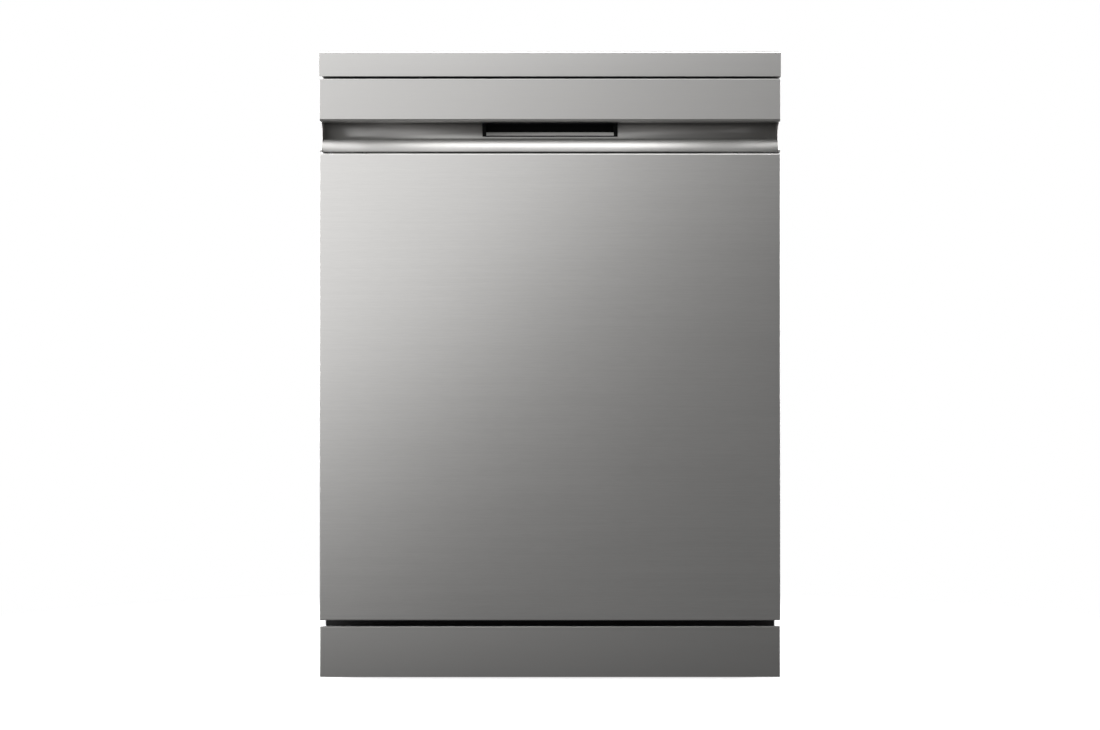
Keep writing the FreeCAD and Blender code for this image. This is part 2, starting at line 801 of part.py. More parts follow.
def base_sections():
    """The sections of the base that stand on its floor: walls, tub posts and foot bosses."""
    up = (BASE_FLOOR + BASE_WALL, WIDE)
    side = BASE_HALF - BASE_WALL
    sections = []
    for y in ((-WIDE, SWING_CLEAR_Y), (SWING_CLEAR_Y, WIDE)):
        sections += [space(x=(-WIDE, -side), y=y, z=up), space(x=(side, WIDE), y=y, z=up)]
    sections.append(space(y=(-WIDE, BASE_FRONT_Y + BASE_WALL), z=up))
    sections.append(space(y=(SWING_CLEAR_Y, SWING_CLEAR_Y + BASE_WALL), z=up))
    sections.append(space(y=(BASE_REAR_Y - BASE_WALL, WIDE), z=up))
    sections.append(space(z=up))
    return sections


def plinth_panel():
    """Kick plate with a rounded top flange and two side returns that reach the base."""
    front = FRONT_Y + PLINTH_SETBACK
    sheet = PLINTH_SHEET
    outer = block(-HALF_WIDTH, HALF_WIDTH, front, front + PLINTH_FLANGE, PLINTH_LOW, PLINTH_TOP)
    outer = round_front(outer, front, PANEL_EDGE_R)
    half = HALF_WIDTH - sheet
    inner = block(-half, half, front + sheet, front + WIDE, -PAST, PLINTH_TOP - sheet)
    panel = outer.cut(inner)
    tab_x = HALF_WIDTH - PLINTH_TAB_INSET
    low = BASE_FLOOR + PLINTH_TAB_RISE
    top = low + PLINTH_TAB_SHEET
    tabs = []
    for x in (-tab_x - PLINTH_TAB, tab_x):
        tabs.append(block(x, x + PLINTH_TAB, front + sheet / 2, BASE_FRONT_Y, low, top))
    return fused([panel] + tabs)


def levelling_foot(x, y):
    """Threaded stem on a round pad."""
    pad = upright(x, y, 0, FOOT_DISC, FOOT_DISC_R)
    pad = pad.makeFillet(ROUND, [edge for edge in pad.Edges if edge.BoundBox.ZMin > FOOT_DISC - NEAR])
    stem = upright(x, y, FOOT_DISC / 2, STEM_TOP, STEM_R)
    return fused([pad, stem])


def casing_screws():
    """Screws through the side panels into the base."""
    screws = []
    for y, z in screw_places():
        head = across(HALF_WIDTH, HALF_WIDTH + SCREW_HEAD, y, z, SCREW_HEAD_R)
        shank = across(BASE_HALF - BASE_WALL, HALF_WIDTH + SCREW_HEAD / 2, y, z, SCREW_R)
        screw = fused([head, shank])
        screws += [screw, mirrored(screw)]
    return Part.makeCompound(screws)


# ------------------------------------------------------------------ tub and water parts


def wash_tub():
    """Drawn tub: open front with a flange, a sunken basin and holes for what passes through."""
    wall = TUB_SHEET
    half = TUB_HALF + wall
    body = block(-half, half, TUB_FRONT_Y, TUB_REAR_Y + wall, TUB_FLOOR - wall, TUB_ROOF + wall)
    flange = block(-FLANGE_HALF, FLANGE_HALF, TUB_FRONT_Y, TUB_FRONT_Y + wall, TUB_FLOOR, FLANGE_TOP)
    front = TUB_FRONT_Y + BASIN_MARGIN
    rear = TUB_REAR_Y - BASIN_MARGIN
    half = BASIN_HALF + wall
    basin = block(-half, half, front - wall, rear + wall, BASIN_FLOOR - wall, TUB_FLOOR)
    shell = fused([body, flange, basin])
    cavity = block(-TUB_HALF, TUB_HALF, TUB_FRONT_Y - PAST, TUB_REAR_Y, TUB_FLOOR, TUB_ROOF)
    sunk = block(-BASIN_HALF, BASIN_HALF, front, rear, BASIN_FLOOR, TUB_FLOOR + PAST)
    shell = shell.cut(cavity).cut(sunk)
    for x, y, radius in tub_holes():
        shell = shell.cut(upright(x, y, BASIN_FLOOR - TUB_SHEET - PAST, TUB_FLOOR + PAST, radius))
    return divided(shell, tub_sections(front, rear))


def tub_sections(front, rear):
    """The flat sections of the tub: flange, roof, walls, floor margins and basin walls."""
    flange = (-WIDE, TUB_FRONT_Y + TUB_SHEET)
    low = (-WIDE, TUB_FLOOR - TUB_SHEET)
    left = (-WIDE, -TUB_HALF)
    right = (TUB_HALF, WIDE)
    sections = [
        space(y=flange, z=(TUB_ROOF, WIDE)),
        space(y=flange, x=left),
        space(y=flange, x=right),
        space(z=(TUB_ROOF, WIDE)),
        space(x=left),
        space(x=right),
        space(y=(TUB_REAR_Y, WIDE)),
    ]
    for height in ((TUB_FLOOR - TUB_SHEET, WIDE), low):
        sections += [
            space(z=height, y=(-WIDE, front)),
            space(z=height, y=(rear, WIDE)),
            space(z=height, x=(-WIDE, -BASIN_HALF)),
            space(z=height, x=(BASIN_HALF, WIDE)),
        ]
    return sections


def tub_holes():
    """Holes in the tub floor: the sump, the spray hub, the salt neck and the feed pipe."""
    return (
        (SUMP_X, SUMP_Y, SUMP_R - SUMP_LIP),
        (0.0, TUB_MID_Y, HUB_R + PAST),
        (SALT_X, SALT_Y, SALT_NECK_R + HOLE_ROOM),
        (0.0, FEED_WALL_Y, FEED_R + HOLE_ROOM),
    )


def tub_gasket():
    """Rubber seal up both sides and across the top of the opening, with a bead along the sill."""
    front = LINER_Y + SEAL_CLEAR
    half = TUB_HALF + GASKET_WIDTH + GASKET_SET
    inside = TUB_HALF + GASKET_SET
    top = TUB_ROOF + GASKET_SET
    outer = block(-half, half, front, TUB_FRONT_Y, TUB_FLOOR + GASKET_FOOT, top + GASKET_WIDTH)
    outer = round_front(outer, front, ROUND)
    inner = block(-inside, inside, front - PAST, TUB_FRONT_Y + PAST, TUB_FLOOR - PAST, top)
    bead = block(-TUB_HALF, TUB_HALF, front, TUB_FRONT_Y, TUB_FLOOR - TUB_SHEET, TUB_FLOOR)
    seal = divided(outer.cut(inner), [space(x=(-WIDE, -inside)), space(x=(inside, WIDE))])
    return Part.makeCompound(seal.Solids + [bead])


def door_keeper():
    """Steel loop on the tub flange that the door latch grips."""
    reach_y = TUB_FRONT_Y - KEEPER_REACH
    half, tall = KEEPER_PLATE_HALF, KEEPER_PLATE_TALL
    face = TUB_FRONT_Y - KEEPER_PLATE_SHEET
    plate = block(-half, half, face, TUB_FRONT_Y, KEEPER_Z - tall, KEEPER_Z + tall)
    corners = [
        Vector(-KEEPER_HALF, face + PAST, KEEPER_Z),
        Vector(-KEEPER_HALF, reach_y, KEEPER_Z),
        Vector(KEEPER_HALF, reach_y, KEEPER_Z),
        Vector(KEEPER_HALF, face + PAST, KEEPER_Z),
    ]
    return fused([plate, bent_wire(corners, KEEPER_R, 2 * KEEPER_R)])


def sump():
    """Cup under the basin that collects the water."""
    top = BASIN_FLOOR - TUB_SHEET
    cup = upright(SUMP_X, SUMP_Y, SUMP_LOW, top, SUMP_R)
    inside = upright(SUMP_X, SUMP_Y, SUMP_LOW + MOULDING, top + PAST, SUMP_R - MOULDING)
    end = SUMP_Y + SUMP_R + SUMP_OUTLET_RUN
    z = SUMP_LOW + SUMP_OUTLET_RISE
    outlet = inward(SUMP_X, SUMP_Y, end, z, SUMP_OUTLET_R)
    bore = inward(SUMP_X, SUMP_Y, end + PAST, z, SUMP_BORE_R)
    return fused([cup, outlet]).cut(inside).cut(bore)


def filter_plate():
    """Perforated plate in the basin around the filter."""
    z = BASIN_FLOOR
    reach = SUMP_R + SIEVE_MARGIN
    top = z + SIEVE_SHEET
    plate = block(SUMP_X - reach, SUMP_X + reach, SUMP_Y - reach, SUMP_Y + reach, z, top)
    return plate.cut(upright(SUMP_X, SUMP_Y, z - PAST, top + PAST, FILTER_HOLE_R))


def filter_cylinder():
    """Lift-out filter with a collar, a fine cylinder below and a grip on top."""
    low = BASIN_FLOOR - FILTER_DEEP
    half = FILTER_WALL / 2
    reach = FILTER_R - half
    top = FILTER_TOP
    collar = upright(SUMP_X, SUMP_Y, low, FILTER_TOP, FILTER_R)
    inside = upright(SUMP_X, SUMP_Y, low + FILTER_WALL, top + PAST, FILTER_R - FILTER_WALL)
    wide = FILTER_WALL
    grip = block(SUMP_X - reach, SUMP_X + reach, SUMP_Y - wide, SUMP_Y + wide, top - FILTER_GRIP, top)
    return fused([collar.cut(inside), grip])


def lower_spray_hub():
    """Upright feed tube that the lower spray arm turns on."""
    low = BASIN_FLOOR - HUB_DEEP
    tube = upright(0, TUB_MID_Y, low, ARM_LOW + HUB_SOCKET, HUB_R)
    collar = upright(0, TUB_MID_Y, BASIN_FLOOR, ARM_LOW - PAST, HUB_R + HUB_COLLAR)
    bore = upright(0, TUB_MID_Y, low - PAST, ARM_LOW + HUB_SOCKET + PAST, HUB_R - HUB_WALL)
    return fused([tube, collar]).cut(bore)


def spray_arm(radius, low, mid_y, jets):
    """Flat blade with round ends, a blind socket for its hub and a row of jet holes."""
    half = ARM_HALF_WIDTH
    blade = block(-radius + half, radius - half, mid_y - half, mid_y + half, low, low + ARM_HEIGHT)
    ends = [upright(side * (radius - half), mid_y, low, low + ARM_HEIGHT, half) for side in (-1, 1)]
    arm = fused([blade] + ends)
    arm = arm.makeFillet(ARM_EDGE_R, [edge for edge in arm.Edges if edge.BoundBox.ZLength < NEAR])
    top = low + ARM_HEIGHT
    for x in jets:
        y = mid_y + math.copysign(JET_SIDE, x)
        arm = arm.cut(upright(x, y, top - JET_DEEP, top + PAST, JET_R))
    return arm


def lower_spray_arm():
    """Lower spray arm, open below for the hub."""
    jets = [side * x for x in LOWER_JETS for side in (-1, 1)]
    arm = spray_arm(LOWER_ARM_R, ARM_LOW, TUB_MID_Y, jets)
    return arm.cut(upright(0, TUB_MID_Y, ARM_LOW - PAST, ARM_LOW + HUB_SOCKET + PAST, HUB_R + HUB_FIT))


def upper_spray_arm():
    """Upper spray arm, open above for the feed stub."""
    jets = [side * x for x in UPPER_JETS for side in (-1, 1)]
    arm = spray_arm(UPPER_ARM_R, UPPER_ARM_LOW, TUB_MID_Y, jets)
    top = UPPER_ARM_LOW + ARM_HEIGHT
    return arm.cut(upright(0, TUB_MID_Y, top - STUB_DEEP - PAST, top + PAST, FEED_R + HUB_FIT))


def upper_feed_tube():
    """Tube under the upper rack from the rear port to the upper spray arm."""
    top = UPPER_ARM_LOW + ARM_HEIGHT
    run = inward(0, TUB_MID_Y, FEED_WALL_Y - FEED_R - PAST, UPPER_FEED_Z, FEED_R)
    stub = upright(0, TUB_MID_Y, top - STUB_DEEP, top + 2 * PAST, FEED_R)
    boss_top = UPPER_FEED_Z + FEED_R + FEED_BOSS_RISE
    boss = upright(0, TUB_MID_Y, top + PAST, boss_top, FEED_R + FEED_BOSS)
    return fused([run, stub, boss])


def feed_pipe():
    """Riser at the back of the tub that ends in a shower nozzle under the roof."""
    roof_z = TUB_ROOF - FEED_R - PAST
    corners = [
        Vector(0, FEED_WALL_Y, TUB_FLOOR - FEED_START),
        Vector(0, FEED_WALL_Y, roof_z),
        Vector(0, TUB_MID_Y, roof_z),
    ]
    pipe = bent_wire(corners, FEED_R, FEED_BEND)
    low = roof_z - FEED_R - ROSE_DROP
    start = Vector(0, TUB_MID_Y, low)
    rose = Part.makeCone(ROSE_WIDE_R, ROSE_NARROW_R, ROSE_HEIGHT, start, Vector(0, 0, 1))
    socket = upright(0, TUB_MID_Y, low + ROSE_SEAT, TUB_ROOF - SINK, ROSE_NECK_R)
    return fused([pipe, rose, socket])


def softener():
    """Resin and salt chamber under the tub, with a neck up through the basin floor."""
    x0 = SALT_X - SALT_BOX_HALF
    x1 = SALT_X + SALT_BOX_HALF
    y0 = SALT_Y - SALT_BOX_FRONT
    y1 = SALT_Y + SALT_BOX_REAR
    low = BASE_FLOOR + SALT_BOX_RISE
    top = BASIN_FLOOR - SALT_BOX_DROP
    chamber = hollow_box(x0, x1, y0, y1, low, top, MOULDING, SALT_BOX_R)
    neck_top = BASIN_FLOOR + SALT_NECK_RISE
    neck = upright(SALT_X, SALT_Y, BASIN_FLOOR - SALT_NECK_DEEP, neck_top, SALT_NECK_R)
    bore_low = BASIN_FLOOR - SALT_BORE_DEEP
    bore = upright(SALT_X, SALT_Y, bore_low, neck_top + PAST, SALT_NECK_R - SALT_NECK_WALL)
    return fused([chamber, neck]).cut(bore)


def salt_cap():
    """Screw cap over the salt neck, with a grip bar."""
    low = BASIN_FLOOR + CAP_GAP
    cap = upright(SALT_X, SALT_Y, low, low + CAP_HEIGHT, SALT_NECK_R + CAP_WALL)
    inside = upright(SALT_X, SALT_Y, low - PAST, low + CAP_DEEP, SALT_NECK_R + CAP_FIT)
    x0 = SALT_X - CAP_BAR_LONG
    x1 = SALT_X + CAP_BAR_LONG
    y0 = SALT_Y - CAP_BAR_HALF
    y1 = SALT_Y + CAP_BAR_HALF
    grip = block(x0, x1, y0, y1, low + CAP_BAR_LOW, low + CAP_BAR_TOP)
    return fused([cap.cut(inside), grip])


def heater_pump():
    """Circulation pump with its flow heater, a motor behind and a neck up to the hub."""
    y = SUMP_Y + SUMP_R + SUMP_OUTLET_RUN
    z = SUMP_LOW + SUMP_OUTLET_RISE
    axis_z = z + PUMP_RISE
    end = y + VOLUTE_LONG
    volute = inward(SUMP_X, y, end, axis_z, VOLUTE_R)
    inside = inward(SUMP_X, y + VOLUTE_WALL, end - VOLUTE_WALL, axis_z, VOLUTE_R - VOLUTE_WALL)
    motor = inward(SUMP_X, end, y + MOTOR_LONG, axis_z, MOTOR_R)
    motor_inside = inward(SUMP_X, y + MOTOR_BORE[0], y + MOTOR_BORE[1], axis_z, MOTOR_BORE_R)
    branch_z = z + BRANCH_RISE
    start = Vector(SUMP_X, (y + end) / 2, branch_z)
    branch = rod(start, Vector(0, TUB_MID_Y, branch_z), BRANCH_R)
    hub = upright(0, TUB_MID_Y, z, BASIN_FLOOR, HUB_R)
    return fused([volute.cut(inside), motor.cut(motor_inside), branch]).cut(hub)


def drain_pump():
    """Small pump beside the sump."""
    y = SUMP_Y + DRAIN_PUMP_Y
    z = SUMP_LOW + DRAIN_PUMP_RISE
    x = SUMP_X + DRAIN_PUMP_X
    end = y + DRAIN_PUMP_LONG
    volute = inward(x, y, end, z, DRAIN_PUMP_R)
    return fused([volute, inward(x, end, y + DRAIN_MOTOR_END, z, DRAIN_MOTOR_R)])


def inlet_valve():
    """Water valve with a threaded hose connector out of the rear recess."""
    x0 = INLET_X - VALVE_HALF
    x1 = INLET_X + VALVE_HALF
    y0 = BASE_REAR_Y - VALVE_FRONT
    y1 = BASE_REAR_Y - VALVE_REAR
    body = block(x0, x1, y0, y1, PORT_Z - VALVE_TALL, PORT_Z + VALVE_TALL)
    start = BASE_REAR_Y + PORT_STAND
    neck = inward(INLET_X, BASE_REAR_Y - NECK_DEEP, start, PORT_Z, THREAD_R - NECK_STEP)
    thread = inward(INLET_X, start, start + THREAD_LENGTH, PORT_Z, THREAD_R)
    deep = BASE_REAR_Y - THREAD_BORE_DEEP
    bore = inward(INLET_X, deep, BASE_REAR_Y + BORE_RUN, PORT_Z, THREAD_R - THREAD_WALL)
    return fused([body, neck, thread]).cut(bore)


def drain_outlet():
    """Spigot for the drain hose."""
    inside = BASE_REAR_Y - BASE_WALL
    flange = inward(DRAIN_X, inside - SPIGOT_FLANGE, inside, PORT_Z, SPIGOT_FLANGE_R)
    start = BASE_REAR_Y + PORT_STAND
    deep = BASE_REAR_Y - SPIGOT_DEEP
    neck = inward(DRAIN_X, deep, start, PORT_Z, SPIGOT_R - NECK_STEP)
    tube = inward(DRAIN_X, start, start + SPIGOT_LENGTH, PORT_Z, SPIGOT_R)
    end = BASE_REAR_Y + BORE_RUN
    bore = inward(DRAIN_X, deep - PAST, end, PORT_Z, SPIGOT_R - SPIGOT_WALL)
    return fused([flange, neck, tube]).cut(bore)


def power_inlet():
    """Gland where the power cord enters the base."""
    deep = BASE_REAR_Y - GLAND_DEEP
    body = inward(POWER_X, deep, BASE_REAR_Y + GLAND_PROUD, PORT_Z, GLAND_R)
    nut = inward(POWER_X, deep, deep + GLAND_NUT, PORT_Z, GLAND_R + GLAND_NUT_STEP)
    bore = inward(POWER_X, BASE_REAR_Y - GLAND_RUN, BASE_REAR_Y + GLAND_RUN, PORT_Z, GLAND_BORE_R)
    return fused([body, nut]).cut(bore)


def side_water_tank():
    """Flat water tank between the tub and the left side panel."""
    x0 = -SIDE_X + PAST
    return hollow_box(x0, x0 + TANK_THICK, *TANK_Y, *TANK_Z, MOULDING, TANK_R)


# ------------------------------------------------------------------ door


def door_outer_panel():
    """Brushed front sheet folded back on all four sides, with relieved bottom corners."""
    outer = block(-HALF_WIDTH, HALF_WIDTH, FRONT_Y, FRONT_Y + PANEL_RETURN, DOOR_LOW, PANEL_TOP)
    outer = round_front(outer, FRONT_Y, PANEL_EDGE_R)
    s = PANEL_SHEET
    half = HALF_WIDTH - s
    inner = block(-half, half, FRONT_Y + s, FRONT_Y + WIDE, DOOR_LOW + s, PANEL_TOP - s)
    panel = outer.cut(inner)
    for side in (-1, 1):
        low, high = sorted((side * LINER_LOW_HALF, side * half))
        z0 = DOOR_LOW - PAST
        z1 = DOOR_LOW + 2 * s
        panel = panel.cut(block(low, high, FRONT_Y + CORNER_RELIEF, FRONT_Y + WIDE, z0, z1))
    return panel


def recess_profile(x):
    """Open line down the back wall, round the bend, along the slope and over the lip."""
    slope = math.radians(RECESS_SLOPE)
    front = FRONT_Y + RECESS_LIP_SET
    lip_z = RECESS_LOW + RECESS_LIP_RISE
    lip = (front + RECESS_LIP_R, lip_z)
    lip_start = (lip[0] - RECESS_LIP_R * math.sin(slope), lip_z + RECESS_LIP_R * math.cos(slope))
    bend_y = RECESS_BACK_Y - RECESS_BEND_R
    bend_end_y = bend_y + RECESS_BEND_R * math.sin(slope)
    bend_end_z = lip_start[1] + (bend_end_y - lip_start[0]) * math.tan(slope)
    bend_z = bend_end_z + RECESS_BEND_R * math.cos(slope)
    turn = (math.pi / 2 - slope) / 2
    bend_mid = (bend_y + RECESS_BEND_R * math.cos(turn), bend_z - RECESS_BEND_R * math.sin(turn))
    lip_mid = (lip[0] - RECESS_LIP_R * math.cos(turn), lip_z + RECESS_LIP_R * math.sin(turn))

    def at(point):
        return Vector(x, point[0], point[1])

    edges = [
        Part.LineSegment(at((RECESS_BACK_Y, GRIP_TOP + RECESS_TOP_RUN)), at((RECESS_BACK_Y, bend_z))),
        Part.Arc(at((RECESS_BACK_Y, bend_z)), at(bend_mid), at((bend_end_y, bend_end_z))),
        Part.LineSegment(at((bend_end_y, bend_end_z)), at(lip_start)),
        Part.Arc(at(lip_start), at(lip_mid), at((front, lip_z))),
        Part.LineSegment(at((front, lip_z)), at((front, RECESS_LOW))),
    ]
    return Part.Wire([edge.toShape() for edge in edges])


def handle_recess():
    """Curved sheet that lines the handle recess, with an opening for the grip cup."""
    half = HALF_WIDTH - END_CAP
    line = recess_profile(-half)
    section = line.makeOffset2D(RECESS_SHEET, 0, True, True)
    if section.BoundBox.YMin < FRONT_Y:
        section = line.makeOffset2D(-RECESS_SHEET, 0, True, True)
    sheet = section.extrude(Vector(2 * half, 0, 0))
    if sheet.ShapeType != "Solid":
        sheet = sheet.Solids[0]
    opening_half = GRIP_HALF + GRIP_WALL + STACK_FIT
    y0 = RECESS_BACK_Y - RECESS_CUT
    y1 = RECESS_BACK_Y + RECESS_CUT
    opening = block(-opening_half, opening_half, y0, y1, GRIP_LOW - STACK_FIT, GRIP_TOP + PAST)
    return sheet.cut(opening)


def recess_end_caps():
    """Two end plates that close the recess, each with a raked front edge."""
    rear = LINER_Y - END_CAP_BACK
    outline = [
        (FRONT_Y + RECESS_LIP_SET, RECESS_LOW),
        (rear, RECESS_LOW),
        (rear, FASCIA_LOW),
        (FRONT_Y + END_CAP_RAKE, FASCIA_LOW),
        (FRONT_Y + RECESS_LIP_SET, RECESS_LOW + END_CAP_NOSE),
    ]
    return pair(plate_yz(outline, HALF_WIDTH - END_CAP, HALF_WIDTH))


def grip_cup():
    """Black finger pocket behind the recess, with a thin frame on its back wall."""
    half = GRIP_HALF + GRIP_WALL
    rear = RECESS_BACK_Y + GRIP_DEPTH
    face = RECESS_BACK_Y - GRIP_FRAME_PROUD
    pocket = block(-half, half, RECESS_BACK_Y - SINK, rear, GRIP_LOW, GRIP_TOP)
    wide = GRIP_HALF + GRIP_FRAME
    frame = block(-wide, wide, face, RECESS_BACK_Y, GRIP_LOW, GRIP_TOP + GRIP_FRAME_RISE)
    wall = GRIP_WALL
    inside = block(-GRIP_HALF, GRIP_HALF, face - PAST, rear - wall, GRIP_LOW + wall, GRIP_TOP - wall)
    return fused([pocket, frame]).cut(inside)


def door_fascia():
    """Front cover above the recess: bevelled lower edge, closed below, open above for the strip."""
    outer = block(-HALF_WIDTH, HALF_WIDTH, FRONT_Y, LINER_Y - FASCIA_BACK, FASCIA_LOW, FASCIA_TOP)
    low_front = []
    for edge in front_edges(outer, FRONT_Y):
        if edge.BoundBox.ZMax < FASCIA_LOW + NEAR:
            low_front.append(edge)
    outer = outer.makeChamfer(FASCIA_BEVEL, low_front)
    wall = TRIM_WALL
    half = HALF_WIDTH - wall
    inner = block(-half, half, FRONT_Y + wall, WIDE, FASCIA_LOW + wall, WIDE)
    half = HALF_WIDTH - END_CAP
    front = RECESS_BACK_Y - FASCIA_OPEN
    below = block(-half, half, front, WIDE, FASCIA_LOW - PAST, FASCIA_LOW + wall + PAST)
    return outer.cut(inner).cut(below)


def door_inner_liner():
    """Inner door sheet: a shallow pan with side flanges, narrower where the hinges are."""
    s = TUB_SHEET
    step = HINGE_Z + LINER_STEP_RISE
    front = FLANGE_Y + STACK_FIT
    upper = block(-LINER_HALF, LINER_HALF, front, LINER_Y, step, LINER_TOP)
    lower = block(-LINER_LOW_HALF, LINER_LOW_HALF, front, LINER_Y, LINER_LOW, step + LINER_OVERLAP)
    pan = fused([upper, lower])
    half = LINER_HALF - s
    low_half = LINER_LOW_HALF - s
    y0 = front - PAST
    y1 = LINER_Y - s
    upper_in = block(-half, half, y0, y1, step + s, LINER_TOP - s)
    lower_in = block(-low_half, low_half, y0, y1, LINER_LOW + s, step + 2 * LINER_OVERLAP)
    pan = pan.cut(fused([upper_in, lower_in]))
    edge_x = HALF_WIDTH - PANEL_SHEET - STACK_FIT
    flange = block(LINER_HALF - s, edge_x, front, front + s, step, RECESS_LOW - LINER_RELIEF)
    pan = fused([pan, flange, mirrored(flange)])
    y1 = RECESS_BACK_Y + GRIP_DEPTH + CUP_ROOM
    low = RECESS_LOW - LINER_RELIEF
    top_relief = block(-WIDE, WIDE, y0, y1, low, GRIP_TOP + LINER_RELIEF_RISE)
    pan = pan.cut(top_relief)
    d = LID_FIT
    y0 = LINER_Y - FACE_CUT
    y1 = LINER_Y + PAST
    left, right = DISPENSER_LEFT - d, DISPENSER_RIGHT + d
    opening = block(left, right, y0, y1, DISPENSER_LOW - d, DISPENSER_HIGH + d)
    half = KEEPER_HALF + KEEPER_ROOM
    slot = block(-half, half, y0, y1, KEEPER_Z - KEEPER_DROP, LINER_TOP + PAST)
    pan = pan.cut(opening).cut(slot)
    for x in BUTTON_X:
        pan = pan.cut(button_hole(x, LINER_BUTTON_ROOM, LINER_TOP - FACE_CUT, LINER_TOP + PAST))
    return divided(pan, liner_sections(step))


def liner_sections(step):
    """The flat sections of the inner door: the face round its openings, then the edges."""
    face = (LINER_Y - TUB_SHEET, WIDE)
    slot_low = (KEEPER_Z - KEEPER_DROP, WIDE)
    edge = LINER_HALF - TUB_SHEET
    low_edge = LINER_LOW_HALF - TUB_SHEET
    flange = (-WIDE, FLANGE_Y + STACK_FIT + TUB_SHEET)
    return [
        space(y=face, z=slot_low, x=(-WIDE, 0)),
        space(y=face, z=slot_low, x=(0, WIDE)),
        space(y=face, z=(-WIDE, step)),
        space(y=face, x=(-WIDE, DISPENSER_LEFT - LID_FIT)),
        space(y=face, x=(DISPENSER_RIGHT + LID_FIT, WIDE)),
        space(y=face, z=(DISPENSER_HIGH, WIDE)),
        space(y=face),
        space(y=flange, x=(-WIDE, -LINER_HALF)),
        space(y=flange, x=(LINER_HALF, WIDE)),
        space(z=(LINER_TOP - TUB_SHEET, WIDE)),
        space(x=(-WIDE, -edge)),
        space(x=(edge, WIDE)),
        space(z=(-WIDE, LINER_LOW + TUB_SHEET)),
        space(x=(-WIDE, -low_edge), z=(-WIDE, step)),
        space(x=(low_edge, WIDE), z=(-WIDE, step)),
        space(x=(-WIDE, 0)),
    ]


def control_strip():
    """Bezel on the top edge of the door, with openings for the buttons and the display."""
    half = HALF_WIDTH - TRIM_WALL - STRIP_FIT
    y0 = FRONT_Y + TRIM_WALL + STRIP_FIT
    top = FASCIA_TOP - STRIP_DROP
    strip = block(-half, half, y0, STRIP_BACK_Y, top - STRIP_SHEET, top)
    for x in BUTTON_X:
        strip = strip.cut(button_hole(x, BUTTON_FIT, top - STRIP_CUT, top + STRIP_CUT))
    y0 = strip_middle() - WINDOW_WIDE / 2
    y1 = strip_middle() + WINDOW_WIDE / 2
    window = block(WINDOW_X - WINDOW_HALF, WINDOW_X + WINDOW_HALF, y0, y1, 0, WIDE)
    return strip.cut(window)


def strip_middle():
    """Where the row of controls runs on the top edge of the door."""
    return (FRONT_Y + TRIM_WALL + STRIP_BACK_Y) / 2


def button_hole(x, room, z0, z1):
    """The outline of one button, grown by some room, between two heights."""
    long = BUTTON_LONG / 2 + room
    wide = BUTTON_WIDE / 2 + room
    mid = strip_middle()
    return block(x - long, x + long, mid - wide, mid + wide, z0, z1)


def push_button(x):
    """Button cap with a retaining lip under the strip and a stem."""
    top = FASCIA_TOP - STRIP_DROP
    under = top - STRIP_SHEET
    cap = button_hole(x, 0, under - BUTTON_LIP, top + BUTTON_PROUD)
    cap = cap.makeFillet(BUTTON_EDGE_R, [edge for edge in cap.Edges if edge.BoundBox.ZMin > top])
    lip_top = under - BUTTON_LIP_GAP
    lip = button_hole(x, BUTTON_LIP, lip_top - BUTTON_LIP, lip_top)
    mid = strip_middle()
    half = BUTTON_STEM_HALF
    stem = block(x - half, x + half, mid - half, mid + half, under - BUTTON_STEM, under - PAST)
    return fused([cap, lip, stem])


def display_window():
    """Clear window in the control strip."""
    top = FASCIA_TOP - STRIP_DROP
    mid = strip_middle()
    half = WINDOW_HALF - WINDOW_FIT
    wide = WINDOW_WIDE / 2 - WINDOW_FIT
    under = top - STRIP_SHEET
    return block(WINDOW_X - half, WINDOW_X + half, mid - wide, mid + wide, under, top)


def control_module():
    """Electronics box under the control strip."""
    z1 = FASCIA_TOP - MODULE_DROP
    y0 = FRONT_Y + TRIM_WALL + MODULE_FRONT
    y1 = RECESS_BACK_Y - MODULE_BACK
    z0 = FASCIA_LOW + TRIM_WALL + PAST
    return hollow_box(-MODULE_HALF, MODULE_HALF, y0, y1, z0, z1, MODULE_WALL, MODULE_R)


def hinge_arm_outline():
    """Outline of the hinge arm: round the pin, then up inside the door."""
    front = FRONT_Y + ARM_INSET
    rear = FLANGE_Y - ARM_FRONT_GAP
    heel = [(HINGE_Y + y, HINGE_Z + z) for y, z in ARM_HEEL]
    top = HINGE_Z + ARM_TOP
    foot = (front, HINGE_Z + ARM_FOOT_RISE)
    return [foot, *heel, (rear, HINGE_Z + ARM_SHOULDER), (rear, top), (front, top)]


def hinge_arms():
    """Two steel arms inside the door's sides that turn on the hinge pins."""
    arm = plate_yz(hinge_arm_outline(), ARM_X, ARM_X + ARM_PLATE)
    end = ARM_X + ARM_PLATE + PAST
    return pair(arm.cut(across(ARM_X - PAST, end, HINGE_Y, HINGE_Z, PIN_R + PIN_FIT)))


def hinge_brackets():
    """Two fixed brackets on the base, each with the pin that carries a hinge arm."""
    nose = [(HINGE_Y + y, HINGE_Z + z) for y, z in BRACKET_NOSE]
    low = HINGE_Z - BRACKET_DROP
    top = HINGE_Z + BRACKET_RISE
    rear = HINGE_Y + BRACKET_REACH
    outline = [*nose, (rear, low), (rear, top), (SWING_CLEAR_Y, top)]
    plate = plate_yz(outline, BRACKET_X, BRACKET_X + BRACKET_PLATE)
    pin = across(ARM_X - PIN_LENGTH, BRACKET_X + SINK, HINGE_Y, HINGE_Z, PIN_R)
    return pair(fused([plate, pin]))


